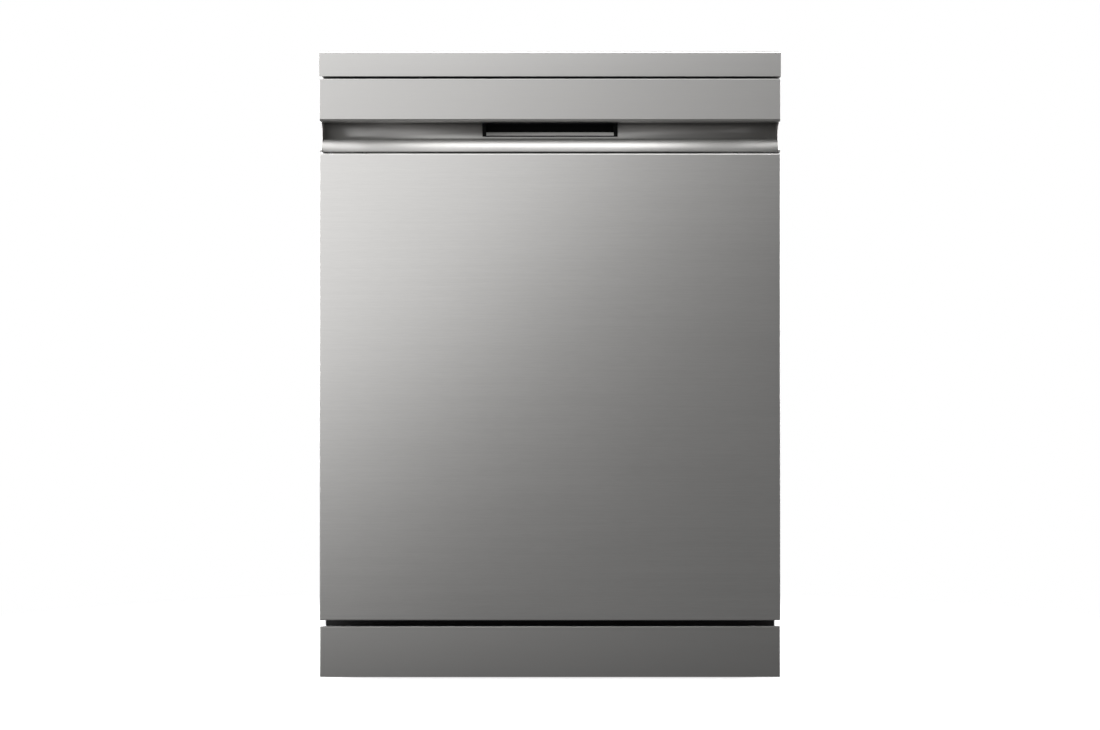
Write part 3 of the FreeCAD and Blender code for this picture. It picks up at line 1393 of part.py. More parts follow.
def hinge_springs():
    """Two counterbalance coils round the hinge pins, inside the hinge arms."""
    pitch = 2 * COIL_WIRE_R + COIL_GAP
    length = COIL_TURNS * pitch
    start = ARM_X - COIL_STAND - length
    helix = Part.makeHelix(pitch, length, COIL_R)
    circle = Part.Circle(Vector(COIL_R, 0, 0), Vector(0, 1, 0), COIL_WIRE_R)
    section = Part.Wire([circle.toShape()])
    coil = Part.Wire(helix).makePipeShell([section], True, True)
    coil.rotate(Vector(0, 0, 0), Vector(0, 1, 0), COIL_TURN)
    coil.translate(Vector(start, HINGE_Y, HINGE_Z))
    return pair(coil)


def latch_jaw():
    """Spring jaw in the door's top that grips the keeper from below."""
    y = TUB_FRONT_Y - KEEPER_REACH
    z = KEEPER_Z - KEEPER_R - JAW_FIT
    rear = y - JAW_REACH
    low = z - JAW_DEEP
    outline = [(rear, low), (y + JAW_TIP, low), (y + JAW_TIP, z), (y - JAW_NECK, z), (rear, z - 1)]
    jaw = plate_yz(outline, -JAW_HALF, JAW_HALF)
    knuckle = across(-JAW_HALF, JAW_HALF, rear, z - JAW_KNUCKLE_R, JAW_KNUCKLE_R)
    return fused([jaw, knuckle])


def lid_left():
    """Left edge of the detergent lid."""
    return DISPENSER_LEFT + LID_INSET


def dispenser_body():
    """Moulding in the inner door with a detergent cup, lid rails and a rinse-aid port."""
    face = LINER_Y + DISPENSER_PROUD
    x0 = lid_left()
    x1 = x0 + LID_WIDTH
    back = LINER_Y - DISPENSER_DEEP
    floor = back + DETERGENT_FLOOR
    body = block(DISPENSER_LEFT, DISPENSER_RIGHT, back, face, DISPENSER_LOW, DISPENSER_HIGH)
    body = round_front(body, face, ROUND)
    inset = DETERGENT_INSET
    low = DISPENSER_HIGH - LID_HEIGHT + DETERGENT_LOW
    top = DISPENSER_HIGH - DETERGENT_TOP
    cup = block(x0 + inset, x1 - inset, floor, face + PAST, low, top)
    wall = RESERVOIR_WALL
    left = x1 + RESERVOIR_GAP
    right = DISPENSER_RIGHT - RESERVOIR_SIDE
    tank = block(left, right, floor, face - wall, DISPENSER_LOW + wall, DISPENSER_HIGH - wall)
    port = inward(rinse_x(), face - PORT_DEEP, face + PAST, rinse_z(), CAP_NECK_R)
    rails = []
    low = DISPENSER_LOW + wall
    top = DISPENSER_HIGH - LID_TOP
    for x in (x0 - LID_RAIL, x1):
        rails.append(block(x, x + LID_RAIL, face - SINK, face + LID_SHEET + PAST, low, top))
    return fused([body.cut(cup).cut(tank).cut(port)] + rails)


def rinse_x():
    """Centre of the rinse-aid cap, left to right."""
    return DISPENSER_RIGHT - RINSE_SET_X


def rinse_z():
    """Centre of the rinse-aid cap, up from the floor."""
    return DISPENSER_HIGH - RINSE_SET_Z


def dispenser_lid():
    """Sliding lid over the detergent cup, with a thumb ridge."""
    face = LINER_Y + DISPENSER_PROUD + LID_GAP
    x0 = lid_left() + LID_FIT
    x1 = x0 + LID_WIDTH - 2 * LID_FIT
    z1 = DISPENSER_HIGH - LID_TOP
    lid = block(x0, x1, face, face + LID_SHEET, z1 - LID_HEIGHT + LID_SHORT, z1)
    proud = face + LID_SHEET + RIDGE_PROUD
    left, right = x0 + RIDGE_INSET, x1 - RIDGE_INSET
    ridge = block(left, right, face + PAST, proud, z1 - RIDGE_LOW, z1 - RIDGE_TOP)
    return fused([lid, ridge])


def rinse_aid_cap():
    """Turning cap over the rinse-aid port, with a grip bar."""
    face = LINER_Y + DISPENSER_PROUD + RINSE_GAP
    x = rinse_x()
    z = rinse_z()
    cap = inward(x, face, face + RINSE_CAP, z, CAP_R)
    plug = inward(x, face - RINSE_PLUG, face + PAST, z, CAP_NECK_R - RINSE_PLUG_FIT)
    half, thick = RINSE_BAR_HALF, RINSE_BAR_THICK
    y0 = face + RINSE_CAP - PAST
    grip = block(x - half, x + half, y0, face + RINSE_BAR_TOP, z - thick, z + thick)
    return fused([cap, plug, grip])


# ------------------------------------------------------------------ racks and rails


def lower_rack():
    """Lower wire rack with four axle plates."""
    pieces = []
    half, long = PLATE_HALF, PLATE_LONG
    low = WHEEL_Z - PLATE_DROP
    top = LOWER_Z + LOWER_RISE / 2 + PLATE_RISE
    end = wheel_start() + WHEEL_THICK
    for y in (WHEEL_FRONT_Y, WHEEL_REAR_Y):
        plate = block(LOWER_HALF - half, LOWER_HALF + half, y - long, y + long, low, top)
        axle = across(LOWER_HALF, end + PAST, y, WHEEL_Z, AXLE_R)
        head = across(end + SINK, end + SINK + AXLE_HEAD, y, WHEEL_Z, AXLE_R + AXLE_HEAD)
        leg = fused([plate, axle, head])
        pieces += [leg, mirrored(leg)]
    return wire_basket(LOWER_HALF, LOWER_FRONT_Y, LOWER_REAR_Y, LOWER_Z, LOWER_RISE, pieces)


def wheel_start():
    """Inner face of the wheels on the right side."""
    return LOWER_HALF + WHEEL_STAND


def wheel_pair(y):
    """Two rack wheels on one axis line."""
    x0 = wheel_start()
    x1 = x0 + WHEEL_THICK
    wheel = across(x0, x1, y, WHEEL_Z, WHEEL_R)
    rims = [edge for edge in wheel.Edges if edge.BoundBox.XLength < NEAR]
    wheel = wheel.makeFillet(WHEEL_EDGE_R, rims)
    wheel = wheel.cut(across(x0 - PAST, x1 + PAST, y, WHEEL_Z, AXLE_R + AXLE_FIT))
    return pair(wheel)


def folding_tines():
    """A row of plate tines on one rod that folds down flat."""
    y = tine_y()
    right = LOWER_HALF - TINE_ROOM_RIGHT
    left = -LOWER_HALF + TINE_ROOM_LEFT
    pieces = [across(left, right, y, TINE_ROD_Z, TINE_R + TINE_ROD_STEP)]
    for x in spaced(left + TINE_END, right - TINE_END, TINE_PITCH):
        pieces.append(upright(x, y, TINE_ROD_Z, TINE_ROD_Z + TINE_HEIGHT, TINE_R))
    return fused(pieces)


def tine_y():
    """Front to back place of the folding tine row."""
    return TUB_MID_Y - TINE_SET_Y


def cutlery_basket():
    """Open cutlery basket with a divider and a carrying handle."""
    wall = BASKET_WALL
    x1 = LOWER_HALF - BASKET_SIDE
    x0 = x1 - BASKET_WIDE
    y0 = LOWER_FRONT_Y + BASKET_FRONT
    y1 = y0 + BASKET_LONG
    z0 = LOWER_Z + 2 * WIRE_R + BASKET_LIFT
    z1 = z0 + BASKET_TALL
    mid = (y0 + y1) / 2
    left = (x0 + x1) / 2 - wall
    right = left + 2 * wall
    grasp_low = z1 + GRASP_LOW
    grasp_top = z1 + GRASP_TOP
    handle_top = z1 + HANDLE_TOP
    body = tray(x0, x1, y0, y1, z0, z1, wall)
    thin = wall / 2
    divider = block(left + thin, right - thin, y0 + thin, y1 - thin, z0 + thin, handle_top)
    window = block(left, right, mid - GRASP_HALF, mid + GRASP_HALF, grasp_low, grasp_top)
    front_corner = block(left, right, y0 - PAST, mid - HANDLE_HALF, z1, handle_top + PAST)
    rear_corner = block(left, right, mid + HANDLE_HALF, y1 + PAST, z1, handle_top + PAST)
    basket = fused([body, divider]).cut(window).cut(front_corner).cut(rear_corner)
    sections = [
        space(z=(grasp_top, WIDE)),
        space(z=(grasp_low, WIDE), y=(-WIDE, mid)),
        space(z=(grasp_low, WIDE)),
        space(z=(-WIDE, z0 + wall)),
        space(x=(-WIDE, x0 + wall)),
        space(x=(x1 - wall, WIDE)),
        space(y=(-WIDE, y0 + wall)),
        space(y=(y1 - wall, WIDE)),
    ]
    return divided(basket, sections)


def rail_front():
    """Front end of the telescopic rails at rest."""
    return TUB_FRONT_Y + RAIL_FRONT


def upper_rails():
    """Two outer rails fixed to the tub walls, open towards the rack."""
    x1 = TUB_HALF
    x0 = x1 - RAIL_OUTER
    y0 = rail_front()
    y1 = y0 + RAIL_LENGTH
    outer = block(x0, x1, y0, y1, RAIL_Z - RAIL_TOP_HALF, RAIL_Z + RAIL_TOP_HALF)
    inner_half = RAIL_TOP_HALF - RAIL_WALL
    low, top = RAIL_Z - inner_half, RAIL_Z + inner_half
    inner = block(x0 - PAST, x1 - RAIL_WALL, y0 - PAST, y1 + PAST, low, top)
    return pair(outer.cut(inner))


def rail_sliders():
    """Two middle rails that run out half as far as the rack."""
    x1 = TUB_HALF - RAIL_WALL - RAIL_FIT
    x0 = x1 - RAIL_MIDDLE
    y0 = rail_front()
    y1 = y0 + RAIL_LENGTH
    half = RAIL_TOP_HALF - RAIL_WALL - RAIL_FIT
    outer = block(x0, x1, y0, y1, RAIL_Z - half, RAIL_Z + half)
    wall = SLIDER_WALL
    low, top = RAIL_Z - half + wall, RAIL_Z + half - wall
    inner = block(x0 + wall, x1 - wall, y0 - PAST, y1 + PAST, low, top)
    return pair(outer.cut(inner))


def upper_rack():
    """Upper wire rack with an inner rail on each side, held by two clips."""
    x0 = TUB_HALF - RAIL_WALL - 2 * RAIL_FIT - RAIL_MIDDLE - RAIL_WALL
    x1 = x0 + RAIL_WALL + RAIL_INNER
    y0 = rail_front()
    y1 = y0 + RAIL_LENGTH
    outer = block(x0, x1, y0, y1, RAIL_Z - RAIL_TOP_HALF, RAIL_Z + RAIL_TOP_HALF)
    inner_half = RAIL_TOP_HALF - RAIL_WALL
    low, top = RAIL_Z - inner_half, RAIL_Z + inner_half
    inner = block(x0 + RAIL_WALL, x1 + PAST, y0 - PAST, y1 + PAST, low, top)
    pieces = [outer.cut(inner)]
    low, top = RAIL_Z - CLIP_HALF, RAIL_Z + CLIP_HALF
    for y in (y0 + CLIP_PLACES[0], y1 - CLIP_PLACES[1]):
        pieces.append(block(UPPER_HALF - PLATE_HALF, x0 + SINK, y, y + CLIP_LONG, low, top))
    rail = fused(pieces)
    rear = FEED_WALL_Y - FEED_R - UPPER_REAR_ROOM
    rails = [rail, mirrored(rail)]
    return wire_basket(UPPER_HALF, LOWER_FRONT_Y, rear, UPPER_Z, UPPER_RISE, rails)


def cup_shelf():
    """Folding cup shelf along the left side of the upper rack."""
    x = shelf_x()
    z = shelf_z()
    y0 = LOWER_FRONT_Y + SHELF_FRONT
    y1 = y0 + SHELF_LONG
    spine = inward(x, y0, y1, z, SHELF_SPINE_R)
    thin = SHELF_HALF_SHEET
    sheet = block(x, x + SHELF_REACH, y0 + SHELF_END, y1 - SHELF_END, z - thin, z + thin)
    shelf = fused([spine, sheet])
    near, far = SHELF_SLOT
    half, deep = SHELF_SLOT_HALF, SHELF_SLOT_DEEP
    for y in spaced(y0 + SHELF_SLOT_INSET, y1 - SHELF_SLOT_INSET, SHELF_SLOT_PITCH):
        shelf = shelf.cut(block(x + near, x + far, y - half, y + half, z - deep, z + deep))
    return shelf


def shelf_x():
    """Hinge line of the cup shelf, left to right."""
    return -UPPER_HALF + SHELF_SET


def shelf_z():
    """Hinge line of the cup shelf, up from the floor."""
    return UPPER_Z + UPPER_RISE - SHELF_DROP


def build():
    """Every piece by its name."""
    parts = {
        "top_cover": top_cover(),
        "worktop_brackets": worktop_brackets(),
        "top_front_trim": top_front_trim(),
        "side_panel_left": side_panel(-1),
        "side_panel_right": side_panel(1),
        "rear_panel": rear_panel(),
        "base_pan": base_pan(),
        "plinth_panel": plinth_panel(),
        "casing_screws": casing_screws(),
        "wash_tub": wash_tub(),
        "tub_gasket": tub_gasket(),
        "door_keeper": door_keeper(),
        "sump": sump(),
        "filter_plate": filter_plate(),
        "filter_cylinder": filter_cylinder(),
        "lower_spray_hub": lower_spray_hub(),
        "lower_spray_arm": lower_spray_arm(),
        "upper_spray_arm": upper_spray_arm(),
        "upper_feed_tube": upper_feed_tube(),
        "feed_pipe": feed_pipe(),
        "softener": softener(),
        "salt_cap": salt_cap(),
        "heater_pump": heater_pump(),
        "drain_pump": drain_pump(),
        "inlet_valve": inlet_valve(),
        "drain_outlet": drain_outlet(),
        "power_inlet": power_inlet(),
        "side_water_tank": side_water_tank(),
        "door_outer_panel": door_outer_panel(),
        "handle_recess": handle_recess(),
        "recess_end_caps": recess_end_caps(),
        "grip_cup": grip_cup(),
        "door_fascia": door_fascia(),
        "door_inner_liner": door_inner_liner(),
        "control_strip": control_strip(),
        "display_window": display_window(),
        "control_module": control_module(),
        "hinge_arms": hinge_arms(),
        "hinge_brackets": hinge_brackets(),
        "hinge_springs": hinge_springs(),
        "latch_jaw": latch_jaw(),
        "dispenser_body": dispenser_body(),
        "dispenser_lid": dispenser_lid(),
        "rinse_aid_cap": rinse_aid_cap(),
        "lower_rack": lower_rack(),
        "wheels_front": wheel_pair(WHEEL_FRONT_Y),
        "wheels_rear": wheel_pair(WHEEL_REAR_Y),
        "folding_tines": folding_tines(),
        "cutlery_basket": cutlery_basket(),
        "upper_rails": upper_rails(),
        "rail_sliders": rail_sliders(),
        "upper_rack": upper_rack(),
        "cup_shelf": cup_shelf(),
    }
    for name, x in zip(("power", "program", "start"), BUTTON_X):
        parts[f"button_{name}"] = push_button(x)
    for name, place in foot_places().items():
        parts[name] = levelling_foot(*place)
    return parts


os.makedirs("parts", exist_ok=True)
for node, shape in build().items():
    shape.exportStep(f"parts/{node}.step")
    print(node, shape.isValid(), len(shape.Solids), round(shape.Volume / 1000, 1))
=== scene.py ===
import math

import bmesh
import bpy
import numpy as np
from bpy.props import FloatProperty, FloatVectorProperty, PointerProperty
from bpy.types import Operator, Panel, PropertyGroup
from mathutils import Matrix, Vector


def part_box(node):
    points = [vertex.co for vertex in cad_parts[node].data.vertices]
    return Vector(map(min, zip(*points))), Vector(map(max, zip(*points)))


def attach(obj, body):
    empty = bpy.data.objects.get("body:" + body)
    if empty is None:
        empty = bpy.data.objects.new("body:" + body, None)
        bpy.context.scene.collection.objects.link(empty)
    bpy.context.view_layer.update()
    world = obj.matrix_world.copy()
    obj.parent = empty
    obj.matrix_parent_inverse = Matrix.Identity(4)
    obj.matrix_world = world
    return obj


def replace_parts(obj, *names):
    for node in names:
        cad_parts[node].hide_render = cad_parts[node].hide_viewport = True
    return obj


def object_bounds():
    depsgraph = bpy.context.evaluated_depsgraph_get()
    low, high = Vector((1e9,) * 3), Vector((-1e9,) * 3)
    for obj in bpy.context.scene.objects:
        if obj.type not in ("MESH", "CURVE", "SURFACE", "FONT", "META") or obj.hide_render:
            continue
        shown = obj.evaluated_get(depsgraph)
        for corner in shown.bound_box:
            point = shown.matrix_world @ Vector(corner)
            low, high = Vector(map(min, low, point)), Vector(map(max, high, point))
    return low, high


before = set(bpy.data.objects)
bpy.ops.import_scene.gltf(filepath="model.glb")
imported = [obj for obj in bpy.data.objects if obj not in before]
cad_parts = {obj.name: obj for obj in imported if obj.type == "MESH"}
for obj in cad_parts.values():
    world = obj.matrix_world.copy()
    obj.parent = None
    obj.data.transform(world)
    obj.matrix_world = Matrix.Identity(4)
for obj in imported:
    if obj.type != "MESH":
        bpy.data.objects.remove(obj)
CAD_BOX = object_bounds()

bl_info = {
    "name": "Built-under dishwasher",
    "version": (1, 0, 0),
    "blender": (4, 5, 0),
    "location": "View3D > Sidebar > Dishwasher",
    "description": "Builds the finished surfaces of a built-under dishwasher around its frame",
    "category": "Add Mesh",
}

MM = 0.001
AXIS_X = np.array([1.0, 0.0, 0.0])
AXIS_Y = np.array([0.0, 1.0, 0.0])
AXIS_Z = np.array([0.0, 0.0, 1.0])

# sheet thicknesses, and the folded pan of the door with the relief in its low corners
THIN_SHEET, THICK_SHEET = 1.0 * MM, 1.2 * MM
PAN_EDGE, PAN_CORNER, RELIEF_START, RELIEF_WIDTH = 1.3 * MM, 1.2 * MM, 3 * MM, 31 * MM
# handle recess: bend at the back, drop at the front, rise and reach of the nose, free height of the back wall
RECESS_BEND, RECESS_DROP, NOSE_RISE, NOSE_REACH, BACK_WALL = 4 * MM, 1.2 * MM, 16.5 * MM, 19 * MM, 25.7 * MM
CUP_FRAME, CUP_LAP = 5 * MM, 1.6 * MM
# threads
INLET_THREAD, INLET_PITCH, FOOT_PITCH = 15 * MM, 1.8 * MM, 1.25 * MM
# tub: radii of its rear corners, floor and roof, the basin, and the beads of the inner door
TUB_CORNER, FLOOR_R, ROOF_R = 30 * MM, 10 * MM, 27 * MM
BASIN_HALF, BASIN_RIM, BASIN_DROP, BASIN_SLOPE = 225 * MM, 34 * MM, 25.9 * MM, 20 * MM
SUMP_HOLE, BEAD_R, BEAD_SUNK = 46 * MM, 3.0 * MM, 1.2 * MM
# racks: the stout top hoop, wire spacing and bends, cage heights and tines
HOOP_R, WIRE_PITCH, WIRE_BEND, CAGE_INSET = 2.4 * MM, 50 * MM, 12 * MM, 30 * MM
LOWER_RISE, UPPER_RISE = 140 * MM, 130 * MM
TINE_R, ROD_R, TINE_HEIGHT, TINE_LEAN, TINE_INSET = 1.5 * MM, 1.6 * MM, 62 * MM, 9 * MM, 8 * MM
RAIL_HALF, RAIL_SHEET, RAIL_REACH = 16 * MM, 2 * MM, 11.6 * MM
WHEEL_R, WHEEL_HALF = 18 * MM, 9 * MM
# cutlery basket
BASKET_WALL, BASKET_PITCH, BASKET_SHEET, BAR_HALF = 105 * MM, 9 * MM, 2 * MM, 1.1 * MM
HANDLE_HALF, HANDLE_FOOT, HANDLE_POST = 48 * MM, 58 * MM, 12 * MM
# stage
FLOOR_REACH, FLOOR_DROP, WORLD_LIGHT = 7.0, 0.0005, 0.145
CAMERA_DISTANCE, SENSOR_WIDTH, HEIGHT_IN_PICTURE_WIDTH = 3.5, 36.0, 0.570727


def node_box(node):
    """Lowest and highest corners of a frame node at rest, as arrays in metres."""
    low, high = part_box(node)
    return np.array(low, float), np.array(high, float)


def bore_line(node):
    """The point at y = 0 of a node's middle line along Y, and the Y of its rear end."""
    low, high = node_box(node)
    return np.array([(low[0] + high[0]) / 2, 0, (low[2] + high[2]) / 2]), high[1]


def foot_point(node):
    """The middle of a node's lowest face, its radius across X and its height."""
    low, high = node_box(node)
    centre = np.array([(low[0] + high[0]) / 2, (low[1] + high[1]) / 2, low[2]])
    return centre, (high[0] - low[0]) / 2, high[2] - low[2]


def mirrored(points):
    """Points of a half outline, then their mirror image in reverse order."""
    return np.vstack([points, (points * np.array([-1, 1]))[::-1]])


# ---- meshes


class Skin:
    """Collects surface patches, as arrays of points, into one mesh."""

    def __init__(self):
        self.points = []
        self.faces = []
        self.count = 0

    def add_points(self, points):
        """Keep some points and give the number of the first of them."""
        points = np.asarray(points, float).reshape(-1, 3)
        start = self.count
        self.points.append(points)
        self.count += len(points)
        return start

    def grid(self, points, wrap_u=False, wrap_v=False, flip=False):
        """A patch over a grid of points p[u, v]; a wrapped direction joins its last row to its first."""
        nu, nv = points.shape[:2]
        start = self.add_points(points)
        u = np.arange(nu if wrap_u else nu - 1)
        v = np.arange(nv if wrap_v else nv - 1)
        uu, vv = np.meshgrid(u, v, indexing="ij")
        u1 = (uu + 1) % nu
        v1 = (vv + 1) % nv
        corners = [uu * nv + vv, u1 * nv + vv, u1 * nv + v1, uu * nv + v1]
        quads = np.stack(corners, axis=-1).reshape(-1, 4) + start
        if flip:
            quads = quads[:, ::-1]
        self.faces.extend(quads.tolist())
        return start

    def cap(self, first, number, step=1, flip=False):
        """One flat face over points that lie in a ring."""
        ring = [first + i * step for i in range(number)]
        self.faces.append(ring[::-1] if flip else ring)

    def loft(self, rings, cap_start=True, cap_end=True, flip=False):
        """A tube through closed rings p[ring, around], closed flat at its ends."""
        number, around = rings.shape[:2]
        start = self.grid(rings, wrap_v=True, flip=flip)
        if cap_start:
            self.cap(start, around, flip=flip)
        if cap_end:
            self.cap(start + (number - 1) * around, around, flip=not flip)

    def tube(self, path, radius, normal, around=10, closed=False):
        """A round wire along a flat path: centre + radius * (cos a * side + sin a * normal)."""
        path = np.asarray(path, float)
        if closed:
            tangent = np.roll(path, -1, axis=0) - np.roll(path, 1, axis=0)
        else:
            tangent = np.gradient(path, axis=0)
        tangent /= np.linalg.norm(tangent, axis=1)[:, None]
        side = np.cross(tangent, normal)
        angle = np.linspace(0, 2 * math.pi, around, endpoint=False)
        circle = np.cos(angle)[None, :, None] * side[:, None, :] + np.sin(angle)[None, :, None] * normal
        rings = path[:, None, :] + np.broadcast_to(radius, len(path))[:, None, None] * circle
        if closed:
            self.grid(rings, wrap_u=True, wrap_v=True)
        else:
            self.loft(rings)

    def pin(self, start, end, radius, around=10):
        """A straight round bar whose far end is a half ball: the radius falls as the root of 1 - t * t."""
        start = np.asarray(start, float)
        end = np.asarray(end, float)
        way = (end - start) / np.linalg.norm(end - start)
        t = np.array([0.0, 0.5, 0.85, 0.98])
        path = np.vstack([start, end - way * radius + way * radius * t[:, None]])
        normal = np.cross(way, AXIS_X if abs(way[0]) < 0.8 else AXIS_Y)
        normal /= np.linalg.norm(normal)
        self.tube(path, np.append(radius, radius * np.sqrt(1 - t * t)), normal, around)

    def lathe(self, profile, centre, axis, around=48, ripple=None, closed=False):
        """A turned shape: (height, radius) points swung round an axis, plus ripple(height, angle)."""
        across = AXIS_X if abs(axis[0]) < 0.8 else AXIS_Y
        profile = np.asarray(profile, float)
        other = np.cross(axis, across)
        angle = np.linspace(0, 2 * math.pi, around, endpoint=False)
        spoke = np.cos(angle)[:, None] * across + np.sin(angle)[:, None] * other
        radius = np.repeat(profile[:, 1][:, None], around, axis=1)
        if ripple is not None:
            radius = radius + ripple(profile[:, 0][:, None], angle[None, :])
        rings = centre + profile[:, 0][:, None, None] * axis + radius[:, :, None] * spoke[None]
        if closed:
            self.grid(rings, wrap_u=True, wrap_v=True)
        else:
            self.loft(rings)

    def block(self, low, high):
        """A plain box between two corners, to be eased by a bevel."""
        low = np.asarray(low, float)
        high = np.asarray(high, float)
        square = [(0, 0), (1, 0), (1, 1), (0, 1)]
        corner = np.array([(x, y, z) for z in (0, 1) for x, y in square])
        start = self.add_points(low + corner * (high - low))
        sides = [(0, 3, 2, 1), (4, 5, 6, 7), (0, 1, 5, 4), (1, 2, 6, 5), (2, 3, 7, 6), (3, 0, 4, 7)]
        self.faces.extend([[start + i for i in side] for side in sides])

    def piece(self, name, body, slot, finish, angle=35.0, shells=True):
        """Make an object that rides a body; closed shells get their faces turned out."""
        mesh = bpy.data.meshes.new(name)
        mesh.from_pydata(np.concatenate(self.points).tolist(), [], self.faces)
        mesh.validate()
        if shells:
            work = bmesh.new()
            work.from_mesh(mesh)
            bmesh.ops.recalc_face_normals(work, faces=work.faces)
            work.to_mesh(mesh)
            work.free()
        return finished(name, mesh, body, finish, angle)


def finished(name, mesh, body, finish, angle=35.0):
    """Link a mesh as a piece: smooth faces, sharp edges past an angle, a finish and a body."""
    mesh.polygons.foreach_set("use_smooth", [True] * len(mesh.polygons))
    mesh.set_sharp_from_angle(angle=math.radians(angle))
    mesh.materials.clear()
    mesh.materials.append(finish_for(finish))
    piece = bpy.data.objects.new(name, mesh)
    bpy.context.scene.collection.objects.link(piece)
    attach(piece, body)
    return piece


def ease(piece, width, segments=2):
    """Round every sharp edge of a piece by a small bevel."""
    bevel = piece.modifiers.new("ease", "BEVEL")
    bevel.width = width
    bevel.segments = segments
    bevel.limit_method = "ANGLE"
    bevel.angle_limit = math.radians(40)
    bevel.use_clamp_overlap = True
    bevel.harden_normals = True
    return piece


def sheet(piece, thickness):
    """Give an open skin the thickness of its sheet, on the inner side."""
    wall = piece.modifiers.new("sheet", "SOLIDIFY")
    wall.thickness = thickness
    wall.offset = -1.0


def eased_copy(node, name, body, finish, width, segments=2):
    """A frame node's own shape with its loose triangles joined and its edges rounded."""
    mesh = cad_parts[node].data.copy()
    work = bmesh.new()
    work.from_mesh(mesh)
    bmesh.ops.remove_doubles(work, verts=work.verts, dist=1e-6)
    bmesh.ops.dissolve_limit(work, angle_limit=math.radians(1.0), verts=work.verts, edges=work.edges)
    work.to_mesh(mesh)
    work.free()
    piece = finished(name, mesh, body, finish)
    ease(piece, width, segments)
    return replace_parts(piece, node)


def rounded_path(corners, bend, steps=8):
    """Straight runs through corners, each inner corner replaced by an arc of one radius."""
    corners = [np.asarray(c, float) for c in corners]
    pieces = [corners[0][None, :]]
    for before, corner, after in zip(corners, corners[1:], corners[2:]):
        back = (before - corner) / np.linalg.norm(before - corner)
        ahead = (after - corner) / np.linalg.norm(after - corner)
        half = math.acos(float(np.clip(back @ ahead, -1, 1))) / 2
        start = corner + back * bend / math.tan(half)
        middle = (back + ahead) / np.linalg.norm(back + ahead)
        centre = corner + middle * bend / math.sin(half)
        spread = math.pi / 2 - half
        turn = np.linspace(-spread, spread, steps)[:, None]
        side = start - centre - middle * ((start - centre) @ middle)
        side /= np.linalg.norm(side)
        pieces.append(centre + bend * (-middle * np.cos(turn) - side * np.sin(turn)))
    pieces.append(corners[-1][None, :])
    return np.concatenate(pieces)


def rounded_loop(half_u, half_v, radius, steps=6):
    """A rectangle's outline with round corners, anticlockwise, as (u, v) points."""
    turn = np.linspace(0, math.pi / 2, steps)
    arc = np.stack([np.cos(turn), np.sin(turn)], axis=1) * radius
    corner = np.array([half_u - radius, half_v - radius])
    spins = []
    for quarter in range(4):
        c, s = math.cos(quarter * math.pi / 2), math.sin(quarter * math.pi / 2)
        spin = np.array([[c, s], [-s, c]])
        sign = np.array([(1, 1), (-1, 1), (-1, -1), (1, -1)][quarter])
        spins.append(arc @ spin + corner * sign)
    return np.concatenate(spins)


def smooth_step(value, low, high):
    """0 below low, 1 above high and a soft S between."""
    t = np.clip((value - low) / (high - low), 0, 1)
    return t * t * (3 - 2 * t)


def spaced(low, high, pitch):
    """Even places from low to high, no further apart than the pitch."""
    gaps = max(1, math.ceil((high - low) / pitch - 1e-9))
    return np.linspace(low, high, gaps + 1)


# ---- shader writing


class Signal:
    """A socket that does arithmetic: an expression on it adds Math nodes."""

    def __init__(self, finish, socket):
        self.finish = finish
        self.socket = socket

    def math(self, operation, first, second=None, third=None):
        """One Math node on up to three values."""
        values = [v for v in (first, second, third) if v is not None]
        return self.finish.node("ShaderNodeMath", {"operation": operation}, dict(enumerate(values)))

    def __add__(self, other):
        return self.math("ADD", self, other)

    def __radd__(self, other):
        return self.math("ADD", other, self)

    def __sub__(self, other):
        return self.math("SUBTRACT", self, other)

    def __rsub__(self, other):
        return self.math("SUBTRACT", other, self)

    def __mul__(self, other):
        return self.math("MULTIPLY", self, other)

    def __rmul__(self, other):
        return self.math("MULTIPLY", other, self)

    def above(self, limit):
        """1 where the value is over a limit, else 0."""
        return self.math("GREATER_THAN", self, limit)

    def between(self, low, high, out_low=0.0, out_high=1.0):
        """The value stretched from one range to another, softly and within it."""
        settings = {"interpolation_type": "SMOOTHSTEP"}
        values = {0: self, 1: low, 2: high, 3: out_low, 4: out_high}
        return self.finish.node("ShaderNodeMapRange", settings, values)


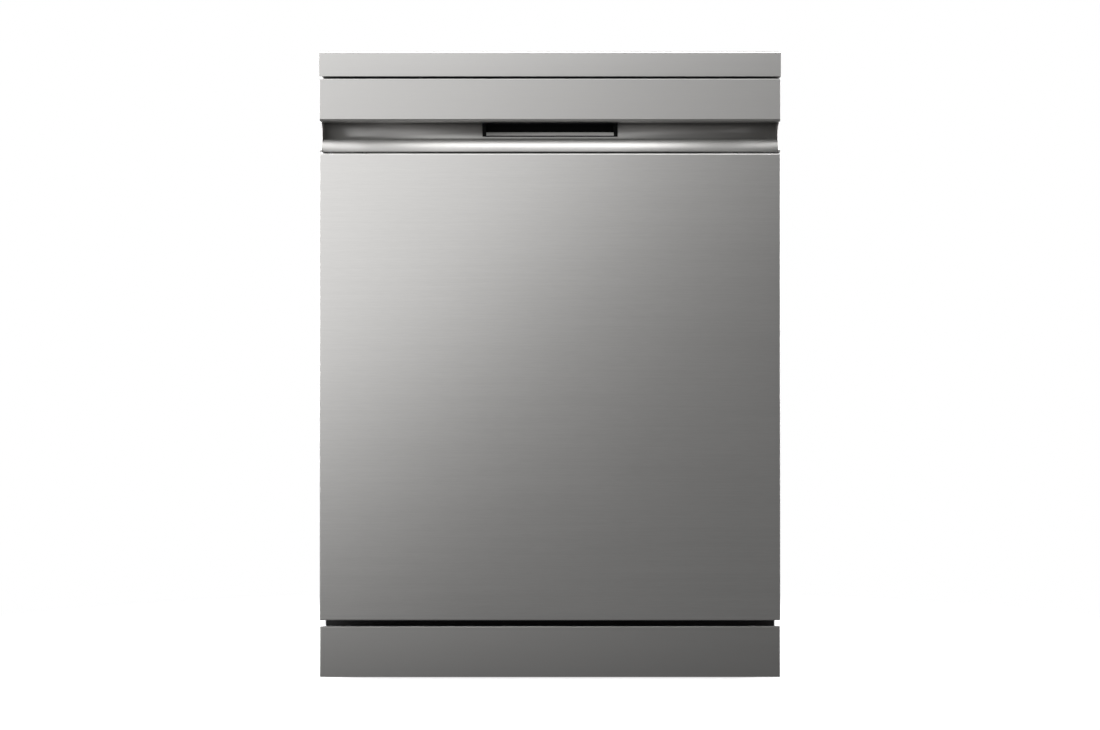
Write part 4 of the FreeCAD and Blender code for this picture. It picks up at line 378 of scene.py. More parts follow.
class Finish:
    """One material and the ways to add nodes to it."""

    def __init__(self, name):
        self.material = bpy.data.materials.new(name)
        self.material.use_nodes = True
        self.tree = self.material.node_tree
        self.shader = self.tree.nodes["Principled BSDF"]
        self.place = self.node("ShaderNodeTexCoord", {}, {}, "Object")

    def node(self, kind, settings, inputs, output=0):
        """Add a node: its settings first, then the value or link of each input; gives one output."""
        made = self.tree.nodes.new(kind)
        for key, value in settings.items():
            if key == "stops":
                ramp = made.color_ramp.elements
                while len(ramp) < len(value):
                    ramp.new(0.5)
                for stop, (position, colour) in zip(ramp, value):
                    stop.position = position
                    stop.color = (*colour, 1.0)
            else:
                setattr(made, key, value)
        for key, value in inputs.items():
            self.feed(made.inputs[key], value)
        return Signal(self, made.outputs[output])

    def feed(self, socket, value):
        """Link a signal to a socket, or set its value."""
        if isinstance(value, Signal):
            self.tree.links.new(value.socket, socket)
        else:
            socket.default_value = value

    def set(self, **values):
        """Set or link inputs of the surface shader, with _ for a space in a name."""
        for key, value in values.items():
            self.feed(self.shader.inputs[key.replace("_", " ")], value)
        return self

    def stretched(self, scale, spin=(0.0, 0.0, 0.0)):
        """Object coordinates scaled per axis, and turned."""
        return self.node("ShaderNodeMapping", {}, {"Vector": self.place, "Scale": scale, "Rotation": spin})

    def noise(self, scale, stretch=(1.0, 1.0, 1.0), detail=2.0, rough=0.5):
        """Noise in object space, from 0 to 1."""
        inputs = {"Vector": self.stretched(stretch), "Scale": scale, "Detail": detail, "Roughness": rough}
        return self.node("ShaderNodeTexNoise", {}, inputs)

    def mix(self, factor, first, second):
        """Blend two colours by a factor."""
        settings = {"data_type": "RGBA"}
        return self.node("ShaderNodeMix", settings, {0: factor, 6: (*first, 1.0), 7: (*second, 1.0)}, 2)

    def bump(self, height, distance, strength=1.0):
        """A normal from a height."""
        inputs = {"Height": height, "Distance": distance, "Strength": strength}
        return self.node("ShaderNodeBump", {}, inputs)


def tint(colour, share):
    """A colour made lighter or darker by a share."""
    return tuple(min(1.0, c * share) for c in colour)


def brushed_metal(name, colour, along="x", roughness=0.3, streak=0.06, depth=0.00003):
    """Brushed sheet: fine long scratches one way, over slow patches in tone and gloss."""
    finish = Finish(name)
    long_way = {"x": (0.035, 1.0, 1.0), "y": (1.0, 0.035, 1.0), "z": (1.0, 1.0, 0.035)}[along]
    longer = {"x": (0.012, 1.0, 1.0), "y": (1.0, 0.012, 1.0), "z": (1.0, 1.0, 0.012)}[along]
    fine = finish.noise(1500.0, long_way, 3.0, 0.6)
    coarse = finish.noise(420.0, longer, 2.0, 0.5)
    patch = finish.noise(3.0, (1.0, 1.0, 1.0), 2.0)
    scratch = fine * 0.65 + coarse * 0.35
    tone = scratch.between(0.3, 0.7) * (1 - 0.25 * patch)
    finish.set(
        Base_Color=finish.mix(tone, tint(colour, 1 - streak), tint(colour, 1 + streak)),
        Metallic=1.0,
        Roughness=roughness - 0.05 + 0.08 * scratch + 0.04 * patch,
        Normal=finish.bump(scratch, depth, 0.35),
    )
    return finish.material


def pressed_field(finish, fields):
    """1 inside a raised rectangle with soft edges, else 0; a field is an axis, a centre and a half size."""
    parts = finish.node("ShaderNodeSeparateXYZ", {}, {0: finish.place})
    height = None
    for axis, centre, half in fields:
        along = Signal(finish, parts.socket.node.outputs[axis])
        away = (along - centre).math("ABSOLUTE", along - centre)
        edge = 1 - away.between(half - 0.004, half)
        height = edge if height is None else height * edge
    return height


def status_light():
    """Small clear lenses of unlit status lamps, with a slight haze."""
    finish = Finish("status_light")
    haze = finish.noise(900.0, detail=1.0)
    finish.set(
        Base_Color=finish.mix(haze, (0.5, 0.62, 0.66), (0.7, 0.8, 0.84)),
        Roughness=0.25 + 0.1 * haze,
    )
    return finish.material


def galvanised(name, colour, fields=()):
    """Zinc-coated sheet: crystal patches that differ a little in tone and gloss; fields are pressed areas."""
    finish = Finish(name)
    inputs = {"Vector": finish.stretched((1.0, 1.0, 1.0)), "Scale": 130.0}
    cells = finish.node("ShaderNodeTexVoronoi", {}, inputs, "Color")
    grain = finish.node("ShaderNodeSeparateColor", {}, {"Color": cells})
    cloud = finish.noise(9.0, detail=3.0)
    tone = grain * 0.6 + cloud * 0.4
    finish.set(
        Base_Color=finish.mix(tone, tint(colour, 0.9), tint(colour, 1.08)),
        Metallic=0.85,
        Roughness=0.36 + 0.16 * tone,
    )
    height = cloud * 0.05
    if fields:
        height = height + pressed_field(finish, fields)
    finish.set(Normal=finish.bump(height, 0.003, 1.0))
    return finish.material


def moulded(name, colour, roughness=0.45, grain=1400.0, depth=0.00005, coat=0.0, shine=0.5):
    """Moulded plastic: a fine spark-eroded grain over slow flow patches."""
    finish = Finish(name)
    spark = finish.noise(grain, detail=2.0, rough=0.6)
    flow = finish.noise(14.0, detail=3.0)
    finish.set(
        Base_Color=finish.mix(flow, tint(colour, 0.9), tint(colour, 1.12)),
        Roughness=roughness - 0.06 + 0.1 * spark + 0.06 * flow,
        Coat_Weight=coat,
        Coat_Roughness=0.15,
        Specular_IOR_Level=shine,
        Normal=finish.bump(spark, depth, 0.5),
    )
    return finish.material


def rubber(name, colour):
    """Soft black rubber with a faint bloom."""
    finish = Finish(name)
    bloom = finish.noise(35.0, detail=4.0)
    skin = finish.noise(900.0, detail=2.0)
    finish.set(
        Base_Color=finish.mix(bloom.between(0.35, 0.75), tint(colour, 0.8), tint(colour, 1.6)),
        Roughness=0.62 + 0.14 * bloom,
        Normal=finish.bump(skin, 0.00006, 0.5),
    )
    finish.set(Specular_IOR_Level=0.35)
    return finish.material


def coated_wire(name, colour):
    """Nylon dip coat on wire: soft gloss with slight runs."""
    finish = Finish(name)
    run = finish.noise(60.0, (1.0, 1.0, 0.4), 3.0)
    pore = finish.noise(1100.0, detail=1.0)
    finish.set(
        Base_Color=finish.mix(run, tint(colour, 0.92), tint(colour, 1.08)),
        Roughness=0.3 + 0.12 * run,
        Normal=finish.bump(run * 0.7 + pore * 0.3, 0.00012, 0.5),
    )
    finish.set(Coat_Weight=0.25)
    return finish.material


def perforated(name, colour, pitch):
    """Thin steel with rows of small round holes cut right through."""
    finish = Finish(name)
    cells = finish.node(
        "ShaderNodeTexVoronoi",
        {"feature": "F1"},
        {"Vector": finish.stretched((1.0, 1.0, 1.0)), "Scale": 1.0 / pitch, "Randomness": 0.0},
        "Distance",
    )
    wear = finish.noise(40.0, detail=3.0)
    finish.set(
        Base_Color=finish.mix(wear, tint(colour, 0.85), tint(colour, 1.05)),
        Metallic=1.0,
        Roughness=0.3 + 0.15 * wear,
        Alpha=cells.above(0.3),
    )
    return finish.material


def smoked_window(name):
    """Dark clear cover with a slight haze in colour and gloss."""
    finish = Finish(name)
    haze = finish.noise(30.0, detail=2.0)
    finish.set(
        Base_Color=finish.mix(haze, (0.008, 0.009, 0.011), (0.014, 0.015, 0.018)),
        Roughness=0.06 + 0.05 * haze,
    )
    finish.set(Coat_Weight=0.6)
    return finish.material


def studio_paper(name, colour):
    """Plain pale paper: it takes a faint shadow near the object and fades to even white away from it."""
    finish = Finish(name)
    fibre = finish.noise(6.0, detail=3.0)
    finish.set(Base_Color=finish.mix(fibre, tint(colour, 0.99), colour), Roughness=0.9)
    finish.set(Specular_IOR_Level=0.0)
    finish.set(Emission_Color=(1.0, 1.0, 1.0, 1.0), Emission_Strength=0.72)
    parts = finish.node("ShaderNodeSeparateXYZ", {}, {0: finish.place})
    x, y = (Signal(finish, parts.socket.node.outputs[axis]) for axis in (0, 1))
    square = x * x + y * y
    reach = square.math("SQRT", square)
    white = finish.node("ShaderNodeEmission", {}, {"Strength": 1.0})
    blend = finish.node("ShaderNodeMixShader", {}, {0: reach.between(0.45, 1.1)})
    tree = finish.material.node_tree
    tree.links.new(finish.shader.outputs[0], blend.socket.node.inputs[1])
    tree.links.new(white.socket.node.outputs[0], blend.socket.node.inputs[2])
    output = next(node for node in tree.nodes if node.type == "OUTPUT_MATERIAL")
    tree.links.new(blend.socket.node.outputs[0], output.inputs["Surface"])
    return finish.material


FINISHES = {}


def finish_for(key):
    """The shared material of one finish, made when it is first asked for."""
    look = bpy.context.scene.dishwasher_look
    front, gloss = look.front_colour, look.front_roughness
    makers = {
        "front": lambda: brushed_metal("front_steel", front, "x", gloss, 0.035),
        # The plinth takes the front steel tinted down to 0.62: painted shade on the plinth, not a different
        # metal.
        "plinth": lambda: brushed_metal("plinth_steel_painted_shade", tint(front, 0.62), "x", gloss + 0.1, 0.012),
        "recess": lambda: brushed_metal("recess_steel", front, "x", 0.56, 0.012),
        "trim": lambda: brushed_metal("trim_steel", front, "x", gloss + 0.02, 0.012),
        "inner": lambda: brushed_metal("inner_steel", look.inner_colour, "z", 0.24, 0.03),
        "rail": lambda: brushed_metal("rail_steel", look.inner_colour, "y", 0.28, 0.05),
        "zinc": lambda: galvanised("zinc_sheet", look.casing_colour),
        "side": lambda: galvanised("side_sheet", look.casing_colour, ((1, 0.0, 0.17), (2, 0.46, 0.21))),
        "rear": lambda: galvanised("rear_sheet", look.casing_colour, ((0, 0.0, 0.22), (2, 0.47, 0.26))),
        "top": lambda: galvanised("top_sheet", look.casing_colour, ((0, 0.0, 0.22), (1, 0.05, 0.15))),
        "dark": lambda: moulded("dark_grey_moulding", tint(look.moulding_colour, 0.5), 0.45),
        "light": status_light,
        "black": lambda: moulded("black_moulding", look.black_colour, 0.5),
        # The grip cup is partly its own black plastic and partly painted shade: it is darkened to 0.35 of the
        # black moulding to look like the shaded finger pocket.
        "cup": lambda: moulded("cup_moulding_painted_shade", tint(look.black_colour, 0.35), 0.7, shine=0.12),
        "button": lambda: moulded("button_moulding", (0.16, 0.16, 0.165), 0.3, 1600.0, 0.00002, 0.2),
        "grey": lambda: moulded("grey_moulding", look.moulding_colour, 0.42),
        "pale": lambda: moulded("pale_moulding", (0.62, 0.63, 0.64), 0.4),
        "wire": lambda: coated_wire("wire_coating", look.rack_colour),
        "rubber": lambda: rubber("seal_rubber", (0.03, 0.03, 0.032)),
        "sieve": lambda: perforated("sieve_steel", look.inner_colour, 0.0032),
        "window": lambda: smoked_window("smoked_cover"),
    }
    if key not in FINISHES:
        FINISHES[key] = makers[key]()
    return FINISHES[key]


NODE_FINISH = {
    "inner": ("door_keeper",),
    "zinc": ("casing_screws", "hinge_arms", "hinge_brackets", "hinge_springs"),
    "black": ("base_pan", "sump", "heater_pump", "drain_pump", "control_module", "latch_jaw"),
    "grey": ("softener", "lower_spray_hub"),
    "pale": ("side_water_tank",),
    "window": ("display_window",),
}


# ---- settings


def colour_setting(name, description, default):
    """A colour that a user may change."""
    return FloatVectorProperty(name=name, description=description, subtype="COLOR", size=3, default=default)


def length_setting(name, description, default, **limits):
    """A length that a user may change."""
    return FloatProperty(name=name, description=description, unit="LENGTH", default=default, **limits)


class DishwasherLook(PropertyGroup):
    """Sizes and colours that a user would change."""

    front_colour: colour_setting("Front steel", "Colour of the brushed front", (0.64, 0.632, 0.62))
    front_roughness: FloatProperty(
        name="Front roughness", description="How matt the brushed front is", subtype="FACTOR",
        default=0.34, min=0.05, max=1.0,
    )
    inner_colour: colour_setting("Inner steel", "Colour of the tub and the inner door", (0.62, 0.62, 0.615))
    casing_colour: colour_setting("Casing", "Colour of the zinc-coated casing", (0.5, 0.51, 0.52))
    black_colour: colour_setting("Black mouldings", "Colour of the black plastic", (0.022, 0.022, 0.023))
    moulding_colour: colour_setting("Grey mouldings", "Colour of the grey plastic", (0.34, 0.35, 0.37))
    rack_colour: colour_setting("Racks", "Colour of the coated wire", (0.42, 0.44, 0.47))
    edge_round: length_setting(
        "Edge rounding", "Bevel on folded and moulded edges", 0.5 * MM, min=0.05 * MM, max=2 * MM,
    )
    wire_radius: length_setting("Wire radius", "Radius of the rack wires", 1.6 * MM)
    tine_pitch: length_setting("Tine pitch", "Distance between plate tines", 28 * MM)


# ---- front pieces


def split_low_edge(loop, place):
    """The loop with a point at -place and at place on its long lowest edge."""
    after = np.roll(loop, -1, axis=0)
    low = loop[:, 1].min()
    flat = (np.abs(loop[:, 1] - low) < 1e-7) & (np.abs(after[:, 0] - loop[:, 0]) > place)
    index = int(np.argmax(flat))
    way = np.sign(after[index, 0] - loop[index, 0])
    return np.insert(loop, [index + 1, index + 1], [[-way * place, low], [way * place, low]], axis=0)


def pan_rings(half_u, half_v, depth, notch):
    """Rings of a folded pan: a round front edge by quarter-circle, then a straight return in two bands."""
    turn = np.linspace(0, math.pi / 2, 5)
    insets = np.append(PAN_EDGE * (1 - np.sin(turn)), [0.0, 0.0])
    depths = np.append(PAN_EDGE * (1 - np.cos(turn)), [RELIEF_START, depth])
    rings = []
    for inset, deep in zip(insets, depths):
        radius = max(PAN_CORNER - inset, PAN_CORNER * 0.3)
        loop = split_low_edge(rounded_loop(half_u - inset, half_v - inset, radius), notch)
        rings.append(np.column_stack([loop[:, 0], np.full(len(loop), deep), loop[:, 1]]))
    return np.array(rings)


def recess_line(low, back_y, front_y, top_z):
    """The recess from its top down, as (y, z): back wall, small bend, shelf, oval nose, short front drop."""
    bend, foot = RECESS_BEND, low + RECESS_DROP
    opening = np.array([[back_y, top_z], [back_y, top_z - BACK_WALL]])
    turn = np.linspace(0, math.pi / 2, 7)
    centre = np.array([back_y - bend, foot + NOSE_RISE + bend])
    bend_arc = centre + bend * np.column_stack([np.cos(turn), -np.sin(turn)])
    turn = np.linspace(0, math.pi / 2, 22)
    nose = np.column_stack([front_y + NOSE_REACH * (1 - np.sin(turn)), foot + NOSE_RISE * np.cos(turn)])
    return np.vstack([opening, bend_arc, nose, [[front_y, low]]])


class DISHWASHER_OT_front(Operator):
    """Door skin, fascia, handle recess, grip cup, top trim and plinth"""

    bl_idname = "dishwasher.front"
    bl_label = "Front"

    def execute(self, context):
        look = context.scene.dishwasher_look
        low, high = node_box("door_outer_panel")
        skin = Skin()
        middle = (low + high) / 2
        size = (high - low) / 2
        notch = size[0] - RELIEF_WIDTH
        rings = pan_rings(size[0], size[2], high[1] - low[1], notch)
        rings = rings + np.array([middle[0], low[1], middle[2]])
        start = skin.grid(rings, wrap_v=True)
        skin.cap(start, rings.shape[1])
        centres = [np.concatenate(skin.points)[list(face)].mean(axis=0) for face in skin.faces]
        skin.faces = [
            face for face, (x, y, z) in zip(skin.faces, centres)
            if not (abs(x) > notch and y > low[1] + RELIEF_START and z < low[2] + PAN_CORNER)
        ]
        door = skin.piece("door_skin", "door", "brushed_front", "front", 50, shells=False)
        sheet(door, THIN_SHEET)
        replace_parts(door, "door_outer_panel")

        low, high = node_box("handle_recess")
        cup_high = node_box("grip_cup")[1]
        line = recess_line(low[2], high[1] - THICK_SHEET, low[1], high[2])
        edge = cup_high[0] - CUP_FRAME + CUP_LAP
        across = np.array([low[0], -edge, edge, high[0]])
        points = np.empty((len(across), len(line), 3))
        points[..., 0] = across[:, None]
        points[..., 1:] = line[None]
        skin = Skin()
        skin.grid(points, flip=True)
        skin.faces = [face for index, face in enumerate(skin.faces) if index != len(line) - 1]
        recess = skin.piece("recess_lining", "door", "brushed_front", "recess", 50, shells=False)
        sheet(recess, THICK_SHEET)
        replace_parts(recess, "handle_recess")

        eased_copy("door_fascia", "fascia_cover", "door", "trim", look.edge_round)
        eased_copy("recess_end_caps", "recess_ends", "door", "trim", 0.4 * MM)
        eased_copy("top_front_trim", "top_trim", "cabinet", "trim", look.edge_round)
        # The plinth cover wears the darker copy of the front steel, which is painted shade.
        eased_copy("plinth_panel", "plinth_cover", "cabinet", "plinth", look.edge_round)
        # The grip pocket takes the extra-dark cup moulding, whose darkness is partly painted shade.
        eased_copy("grip_cup", "grip_pocket", "door", "cup", 0.5 * MM)
        return {"FINISHED"}


class DISHWASHER_OT_controls(Operator):
    """Control strip on the door's top edge with its buttons and status lights"""

    bl_idname = "dishwasher.controls"
    bl_label = "Controls"

    def execute(self, context):
        eased_copy("control_strip", "control_bezel", "door", "black", 0.3 * MM)
        high = node_box("control_strip")[1]
        lights = Skin()
        dome = np.array([(0.0, 1.1), (0.12, 1.05), (0.25, 0.7), (0.3, 0.05)]) * MM
        for key in ("power", "program", "start"):
            node = f"button_{key}"
            eased_copy(node, f"{node}_cap", node, "button", 0.3 * MM)
            left, right = node_box(node)
            middle = (left + right) / 2
            lights.lathe(dome, np.array([right[0] + 6 * MM, middle[1], high[2]]), AXIS_Z, 16)
        left, right = node_box("display_window")
        for x in np.linspace(left[0] + 6 * MM, right[0] - 6 * MM, 7):
            lights.lathe(dome, np.array([x, left[1] - 5 * MM, high[2]]), AXIS_Z, 16)
        lights.piece("status_lights", "door", "smoked_window", "light")
        return {"FINISHED"}


# ---- casing


class DISHWASHER_OT_casing(Operator):
    """Folded casing sheets, feet and the ports at the rear"""

    bl_idname = "dishwasher.casing"
    bl_label = "Casing"

    def execute(self, context):
        for side in ("left", "right"):
            name = f"side_sheet_{side}"
            eased_copy(f"side_panel_{side}", name, "cabinet", "side", 0.4 * MM)
        eased_copy("top_cover", "top_sheet", "cabinet", "top", 0.3 * MM)
        eased_copy("rear_panel", "rear_sheet", "cabinet", "rear", 0.3 * MM)
        eased_copy("worktop_brackets", "worktop_angles", "cabinet", "zinc", 0.4 * MM)
        for name in ("front_left", "front_right", "rear_left", "rear_right"):
            self.foot(f"foot_{name}")
        self.ports()
        return {"FINISHED"}

    def foot(self, node):
        """Ribbed pad and hexagon collar under a threaded stem; the thread's radius follows a helix."""
        centre, pad_r, tall = foot_point(node)
        skin = Skin()
        pad = [(0, 0.2), (0, 0.9), (0.8, 0.97), (2.2, 1.0), (5.5, 1.0), (7.2, 0.96), (8.4, 0.84), (9.4, 0.62)]
        pad += [(10, 0.5), (10, 0.2)]
        pad = np.array(pad) * np.array([MM, pad_r])

        def ribs(height, angle):
            return np.where((height > 2 * MM) & (height < 7 * MM), 0.5 * MM * (np.cos(36 * angle) - 1), 0.0)

        skin.lathe(pad, centre, AXIS_Z, 144, ribs)
        collar = np.array([(9.6, 2), (9.6, 8.2), (10.2, 8.8), (15.4, 8.8), (16.0, 8.2), (16.0, 2)]) * MM
        skin.lathe(collar, centre, AXIS_Z, 6)
        height = np.linspace(15.5 * MM, tall - 1 * MM, 230)
        stem = np.column_stack([height, np.full_like(height, 4.6 * MM)])

        def thread(up, angle):
            return 0.4 * MM * np.cos(2 * math.pi * up / FOOT_PITCH - angle)

        skin.lathe(stem, centre, AXIS_Z, 24, thread)
        foot = skin.piece(f"{node}_screw", node, "black_plastic", "black", 50)
        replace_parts(foot, node)

    def ports(self):
        """Threaded inlet, barbed drain spigot and cord gland, each a closed profile swung round its bore."""
        low, high = node_box("inlet_valve")
        centre, tip = bore_line("inlet_valve")
        start = tip - INLET_THREAD
        run = np.linspace(start, tip, 90)
        outer = np.column_stack([run, np.full_like(run, 12.7 * MM)])
        bore, neck = 9.7 * MM, 12.6 * MM
        rear = start - 13 * MM
        loop = np.vstack([[(rear, bore), (rear, neck), (start, neck)], outer, [(tip, bore)]])

        def thread(along, angle):
            inside = (along > start + 0.2 * MM) & (along < tip - 0.4 * MM)
            return np.where(inside, 0.5 * MM * np.cos(2 * math.pi * along / INLET_PITCH - angle), 0.0)

        body = Skin()
        body.block((low[0], low[1], low[2]), (high[0], start - 12 * MM, high[2]))
        valve = body.piece("inlet_valve_body", "cabinet", "black_plastic", "black")
        ease(valve, 1.5 * MM, 3)
        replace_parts(valve, "inlet_valve")
        skin = Skin()
        skin.lathe(loop, centre, AXIS_Y, 48, thread, closed=True)
        skin.piece("inlet_thread", "cabinet", "black_plastic", "pale", 50)

        centre, tip = bore_line("drain_outlet")
        barb = [(-48, 7), (-48, 8.9), (-18, 8.9), (-16.5, 9.5), (-12, 8.6), (-11.8, 9.5)]
        barb += [(-7.5, 8.6), (-7.3, 9.5), (-3, 8.6), (-2.8, 9.3), (0, 8.2), (0, 7)]
        skin = Skin()
        skin.lathe(np.array(barb) * MM + np.array([tip, 0]), centre, AXIS_Y, 40, closed=True)
        flange = [(-35, 7), (-35, 15.5), (-33, 16), (-31.5, 15.5), (-31.5, 7)]
        skin.lathe(np.array(flange) * MM + np.array([tip + 8.8 * MM, 0]), centre, AXIS_Y, 40, closed=True)
        drain = skin.piece("drain_spigot", "cabinet", "grey_plastic", "grey", 50)
        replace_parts(drain, "drain_outlet")

        centre, tip = bore_line("power_inlet")
        gland = [(-22, 4.6), (-22, 12), (-8, 12), (-7.4, 11.4), (-6.5, 12), (-1.2, 11.4), (0, 10.2), (0, 4.6)]
        skin = Skin()
        skin.lathe(
            np.array(gland) * MM + np.array([tip, 0]), centre, AXIS_Y, 72,
            lambda a, t: np.where(a > tip - 7 * MM, 0.25 * MM * (np.cos(18 * t) - 1), 0.0), closed=True,
        )
        nut = [(-22, 11), (-22, 15.4), (-21.4, 16), (-16.6, 16), (-16, 15.4), (-16, 11)]
        skin.lathe(np.array(nut) * MM + np.array([tip, 0]), centre, AXIS_Y, 6, closed=True)
        socket = skin.piece("cord_gland", "cabinet", "black_plastic", "black", 40)
        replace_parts(socket, "power_inlet")


# ---- tub and inner door


def tub_wall(half, front, rear, floor, roof):
    """Drawn tub walls: a U path round three sides times an upright profile that curves in at both ends.

    Each point is the path point moved inward by the profile's inset, so the rear corners tighten upwards.
    """
    corner, low_r, high_r = TUB_CORNER, FLOOR_R, ROOF_R
    turn = np.linspace(0, math.pi / 2, 7)
    low_arc = np.column_stack([low_r * (1 - np.sin(turn)), floor + low_r * (1 - np.cos(turn))])
    high_arc = np.column_stack([high_r * (1 - np.cos(turn)), roof - high_r * (1 - np.sin(turn))])
    bands = [(230 * MM, 330 * MM), (352 * MM, 452 * MM), (612 * MM, 690 * MM)]
    height = np.linspace(floor + low_r + 4 * MM, roof - high_r - 4 * MM, 150)
    soft = 8 * MM
    press = sum(smooth_step(height, a, a + soft) * (1 - smooth_step(height, b - soft, b)) for a, b in bands)
    profile = np.vstack([low_arc, np.column_stack([-1.8 * MM * press, height]), high_arc])
    swing = np.linspace(0, math.pi / 2, 9)
    left = np.column_stack([-half + corner * (1 - np.cos(swing)), rear - corner * (1 - np.sin(swing))])
    left_in = np.column_stack([np.cos(swing), -np.sin(swing)])
    path = np.vstack([[(-half, front)], [(-half, front + 12 * MM)], left])
    inward = np.vstack([[(1, 0)], [(1, 0)], left_in])
    path, inward = mirrored(path), mirrored(inward)
    inset = np.broadcast_to(profile[None, :, 0], (len(path), len(profile))).copy()
    inset[0] = np.maximum(inset[0], 0)
    inset[-1] = np.maximum(inset[-1], 0)
    flat = path[:, None, :] + inward[:, None, :] * inset[..., None]
    return np.dstack([flat, np.broadcast_to(profile[None, :, 1], inset.shape)])


class DISHWASHER_OT_tub(Operator):
    """Drawn tub with its basin and flange, the door seal, and the beads on the inner door"""

    bl_idname = "dishwasher.tub"
    bl_label = "Tub"

    def execute(self, context):
        low, high = node_box("wash_tub")
        seal_low, seal_high = node_box("tub_gasket")
        half = seal_high[0] - 11 * MM
        front, rear = low[1], high[1] - 1.2 * MM
        floor = seal_low[2] + 1.2 * MM
        roof = seal_high[2] - 11 * MM
        skin = Skin()
        skin.grid(tub_wall(half, front, rear, floor, roof))
        roof_u = np.linspace(-half + 26 * MM, half - 26 * MM, 3)
        roof_v = np.linspace(front, rear - 26 * MM, 3)
        xx, yy = np.meshgrid(roof_u, roof_v, indexing="ij")
        skin.grid(np.dstack([xx, yy, np.full_like(xx, roof)]))
        skin.grid(self.floor_points(half - 9.5 * MM, front, rear - 9.5 * MM, floor), flip=True)
        low_s, high_s = node_box("sump")
        hole = np.array([(low_s[0] + high_s[0]) / 2, low_s[1] + (high_s[0] - low_s[0]) / 2])
        points = np.concatenate(skin.points)
        faces = np.array(skin.faces)
        centres = points[faces].mean(axis=1)
        near = np.hypot(centres[:, 0] - hole[0], centres[:, 1] - hole[1]) < SUMP_HOLE
        skin.faces = faces[~(near & (centres[:, 2] < floor - 5 * MM))].tolist()
        tub = skin.piece("tub_shell", "cabinet", "stainless_inner", "inner", 60, shells=False)
        sheet(tub, THIN_SHEET)
        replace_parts(tub, "wash_tub")
        self.flange(high, half, front, floor, roof)
        self.seal(half, seal_low, seal_high, floor, front)
        eased_copy("filter_plate", "filter_sieve", "cabinet", "sieve", 0.2 * MM)
        self.inner_door()
        return {"FINISHED"}

    def floor_points(self, half, front, rear, floor):
        """The floor as a height over x and y: it drops by a soft step all round the basin."""
        basin = BASIN_HALF
        x = np.unique(np.concatenate([np.linspace(-half, half, 121), [-basin, basin]]))
        y = np.linspace(front, rear, 111)
        xx, yy = np.meshgrid(x, y, indexing="ij")
        back = rear + 9.5 * MM - BASIN_RIM
        edge = np.minimum(basin - np.abs(xx), np.minimum(yy - front - BASIN_RIM, back - yy))
        return np.dstack([xx, yy, floor - BASIN_DROP * smooth_step(edge, 0.0, BASIN_SLOPE)])

    def flange(self, high, half, front, floor, roof):
        """The flat flange round the tub mouth: rings that run from the mouth's outline to the outer one."""
        arc = np.linspace(0, math.pi / 2, 7)
        r = ROOF_R
        corner = np.column_stack([half - r * (1 - np.cos(arc)), roof - r * (1 - np.sin(arc))])
        mouth = mirrored(np.vstack([[(half, floor)], corner]))
        outer_half, top = high[0], high[2]
        cut = 4 * MM
        outer = [(outer_half, floor)] + [(outer_half, top - cut)] * 3 + [(outer_half - cut, top)] * 4
        outer = mirrored(np.array(outer))
        rings = np.empty((3, len(mouth), 3))
        for row, share in enumerate((0.0, 0.5, 1.0)):
            rings[row, :, 0] = mouth[:, 0] * (1 - share) + outer[:, 0] * share
            rings[row, :, 1] = front
            rings[row, :, 2] = mouth[:, 1] * (1 - share) + outer[:, 1] * share
        skin = Skin()
        skin.grid(rings, flip=True)
        rim = skin.piece("tub_flange", "cabinet", "stainless_inner", "inner", 60, shells=False)
        sheet(rim, THICK_SHEET)

    def seal(self, half, low, high, floor, front):
        """Rubber seal: a bulb with two lips carried round the mouth, and a bead on the sill."""
        depth = front - low[1]
        middle = half + 6 * MM
        r = 9 * MM
        turn = np.linspace(0, math.pi / 2, 9)
        top = high[2] - 5 * MM
        path = np.column_stack([middle - r * (1 - np.cos(turn)), top - r * (1 - np.sin(turn))])
        out = np.column_stack([np.cos(turn), np.sin(turn)])
        path = np.vstack([[(middle, floor + 6.5 * MM)], path])
        out = np.vstack([[(1, 0)], out])
        path, out = mirrored(path), mirrored(out)
        across = np.array([-4.8, -4.6, -3.6, -2.4, -1.2, 0, 1.2, 2.4, 3.6, 4.6, 4.8, 4.8, -4.8]) * MM
        proud = np.array([0.1, 0.7, 0.97, 0.8, 0.62, 0.6, 0.62, 0.8, 0.97, 0.7, 0.1, 0.0, 0.0]) * depth
        place = path[:, None, :] + out[:, None, :] * across[None, :, None]
        rings = np.empty((len(path), len(across), 3))
        rings[..., 0] = place[..., 0]
        rings[..., 2] = place[..., 1]
        rings[..., 1] = front - proud[None]
        skin = Skin()
        skin.loft(rings)
        swing = np.linspace(0, math.pi, 9)
        bead = np.empty((2, 9, 3))
        bead[:, :, 0] = np.array([-half + 1 * MM, half - 1 * MM])[:, None]
        bead[:, :, 1] = front - 0.5 * depth + 0.5 * depth * np.cos(swing)
        bead[:, :, 2] = floor - 1.1 * MM + 1.0 * MM * np.sin(swing)
        skin.loft(bead)
        seal = skin.piece("door_seal", "cabinet", "seal_rubber", "rubber", 60)
        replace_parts(seal, "tub_gasket")

    def inner_door(self):
        """The inner door's sheet with round edges, and pressed beads: half-sunk rings round flat fields."""
        eased_copy("door_inner_liner", "inner_door_sheet", "door", "inner", 1.0 * MM, 3)
        high = node_box("door_inner_liner")[1]
        box_low, box_high = node_box("dispenser_body")
        deep = high[1] - BEAD_R + BEAD_SUNK
        skin = Skin()

        def frame_round(x0, x1, z0, z1, corner):
            loop = rounded_loop((x1 - x0) / 2, (z1 - z0) / 2, corner, 10)
            x, z = loop[:, 0] + (x0 + x1) / 2, loop[:, 1] + (z0 + z1) / 2
            skin.tube(np.column_stack([x, np.full(len(loop), deep), z]), BEAD_R, AXIS_Y, 14, closed=True)

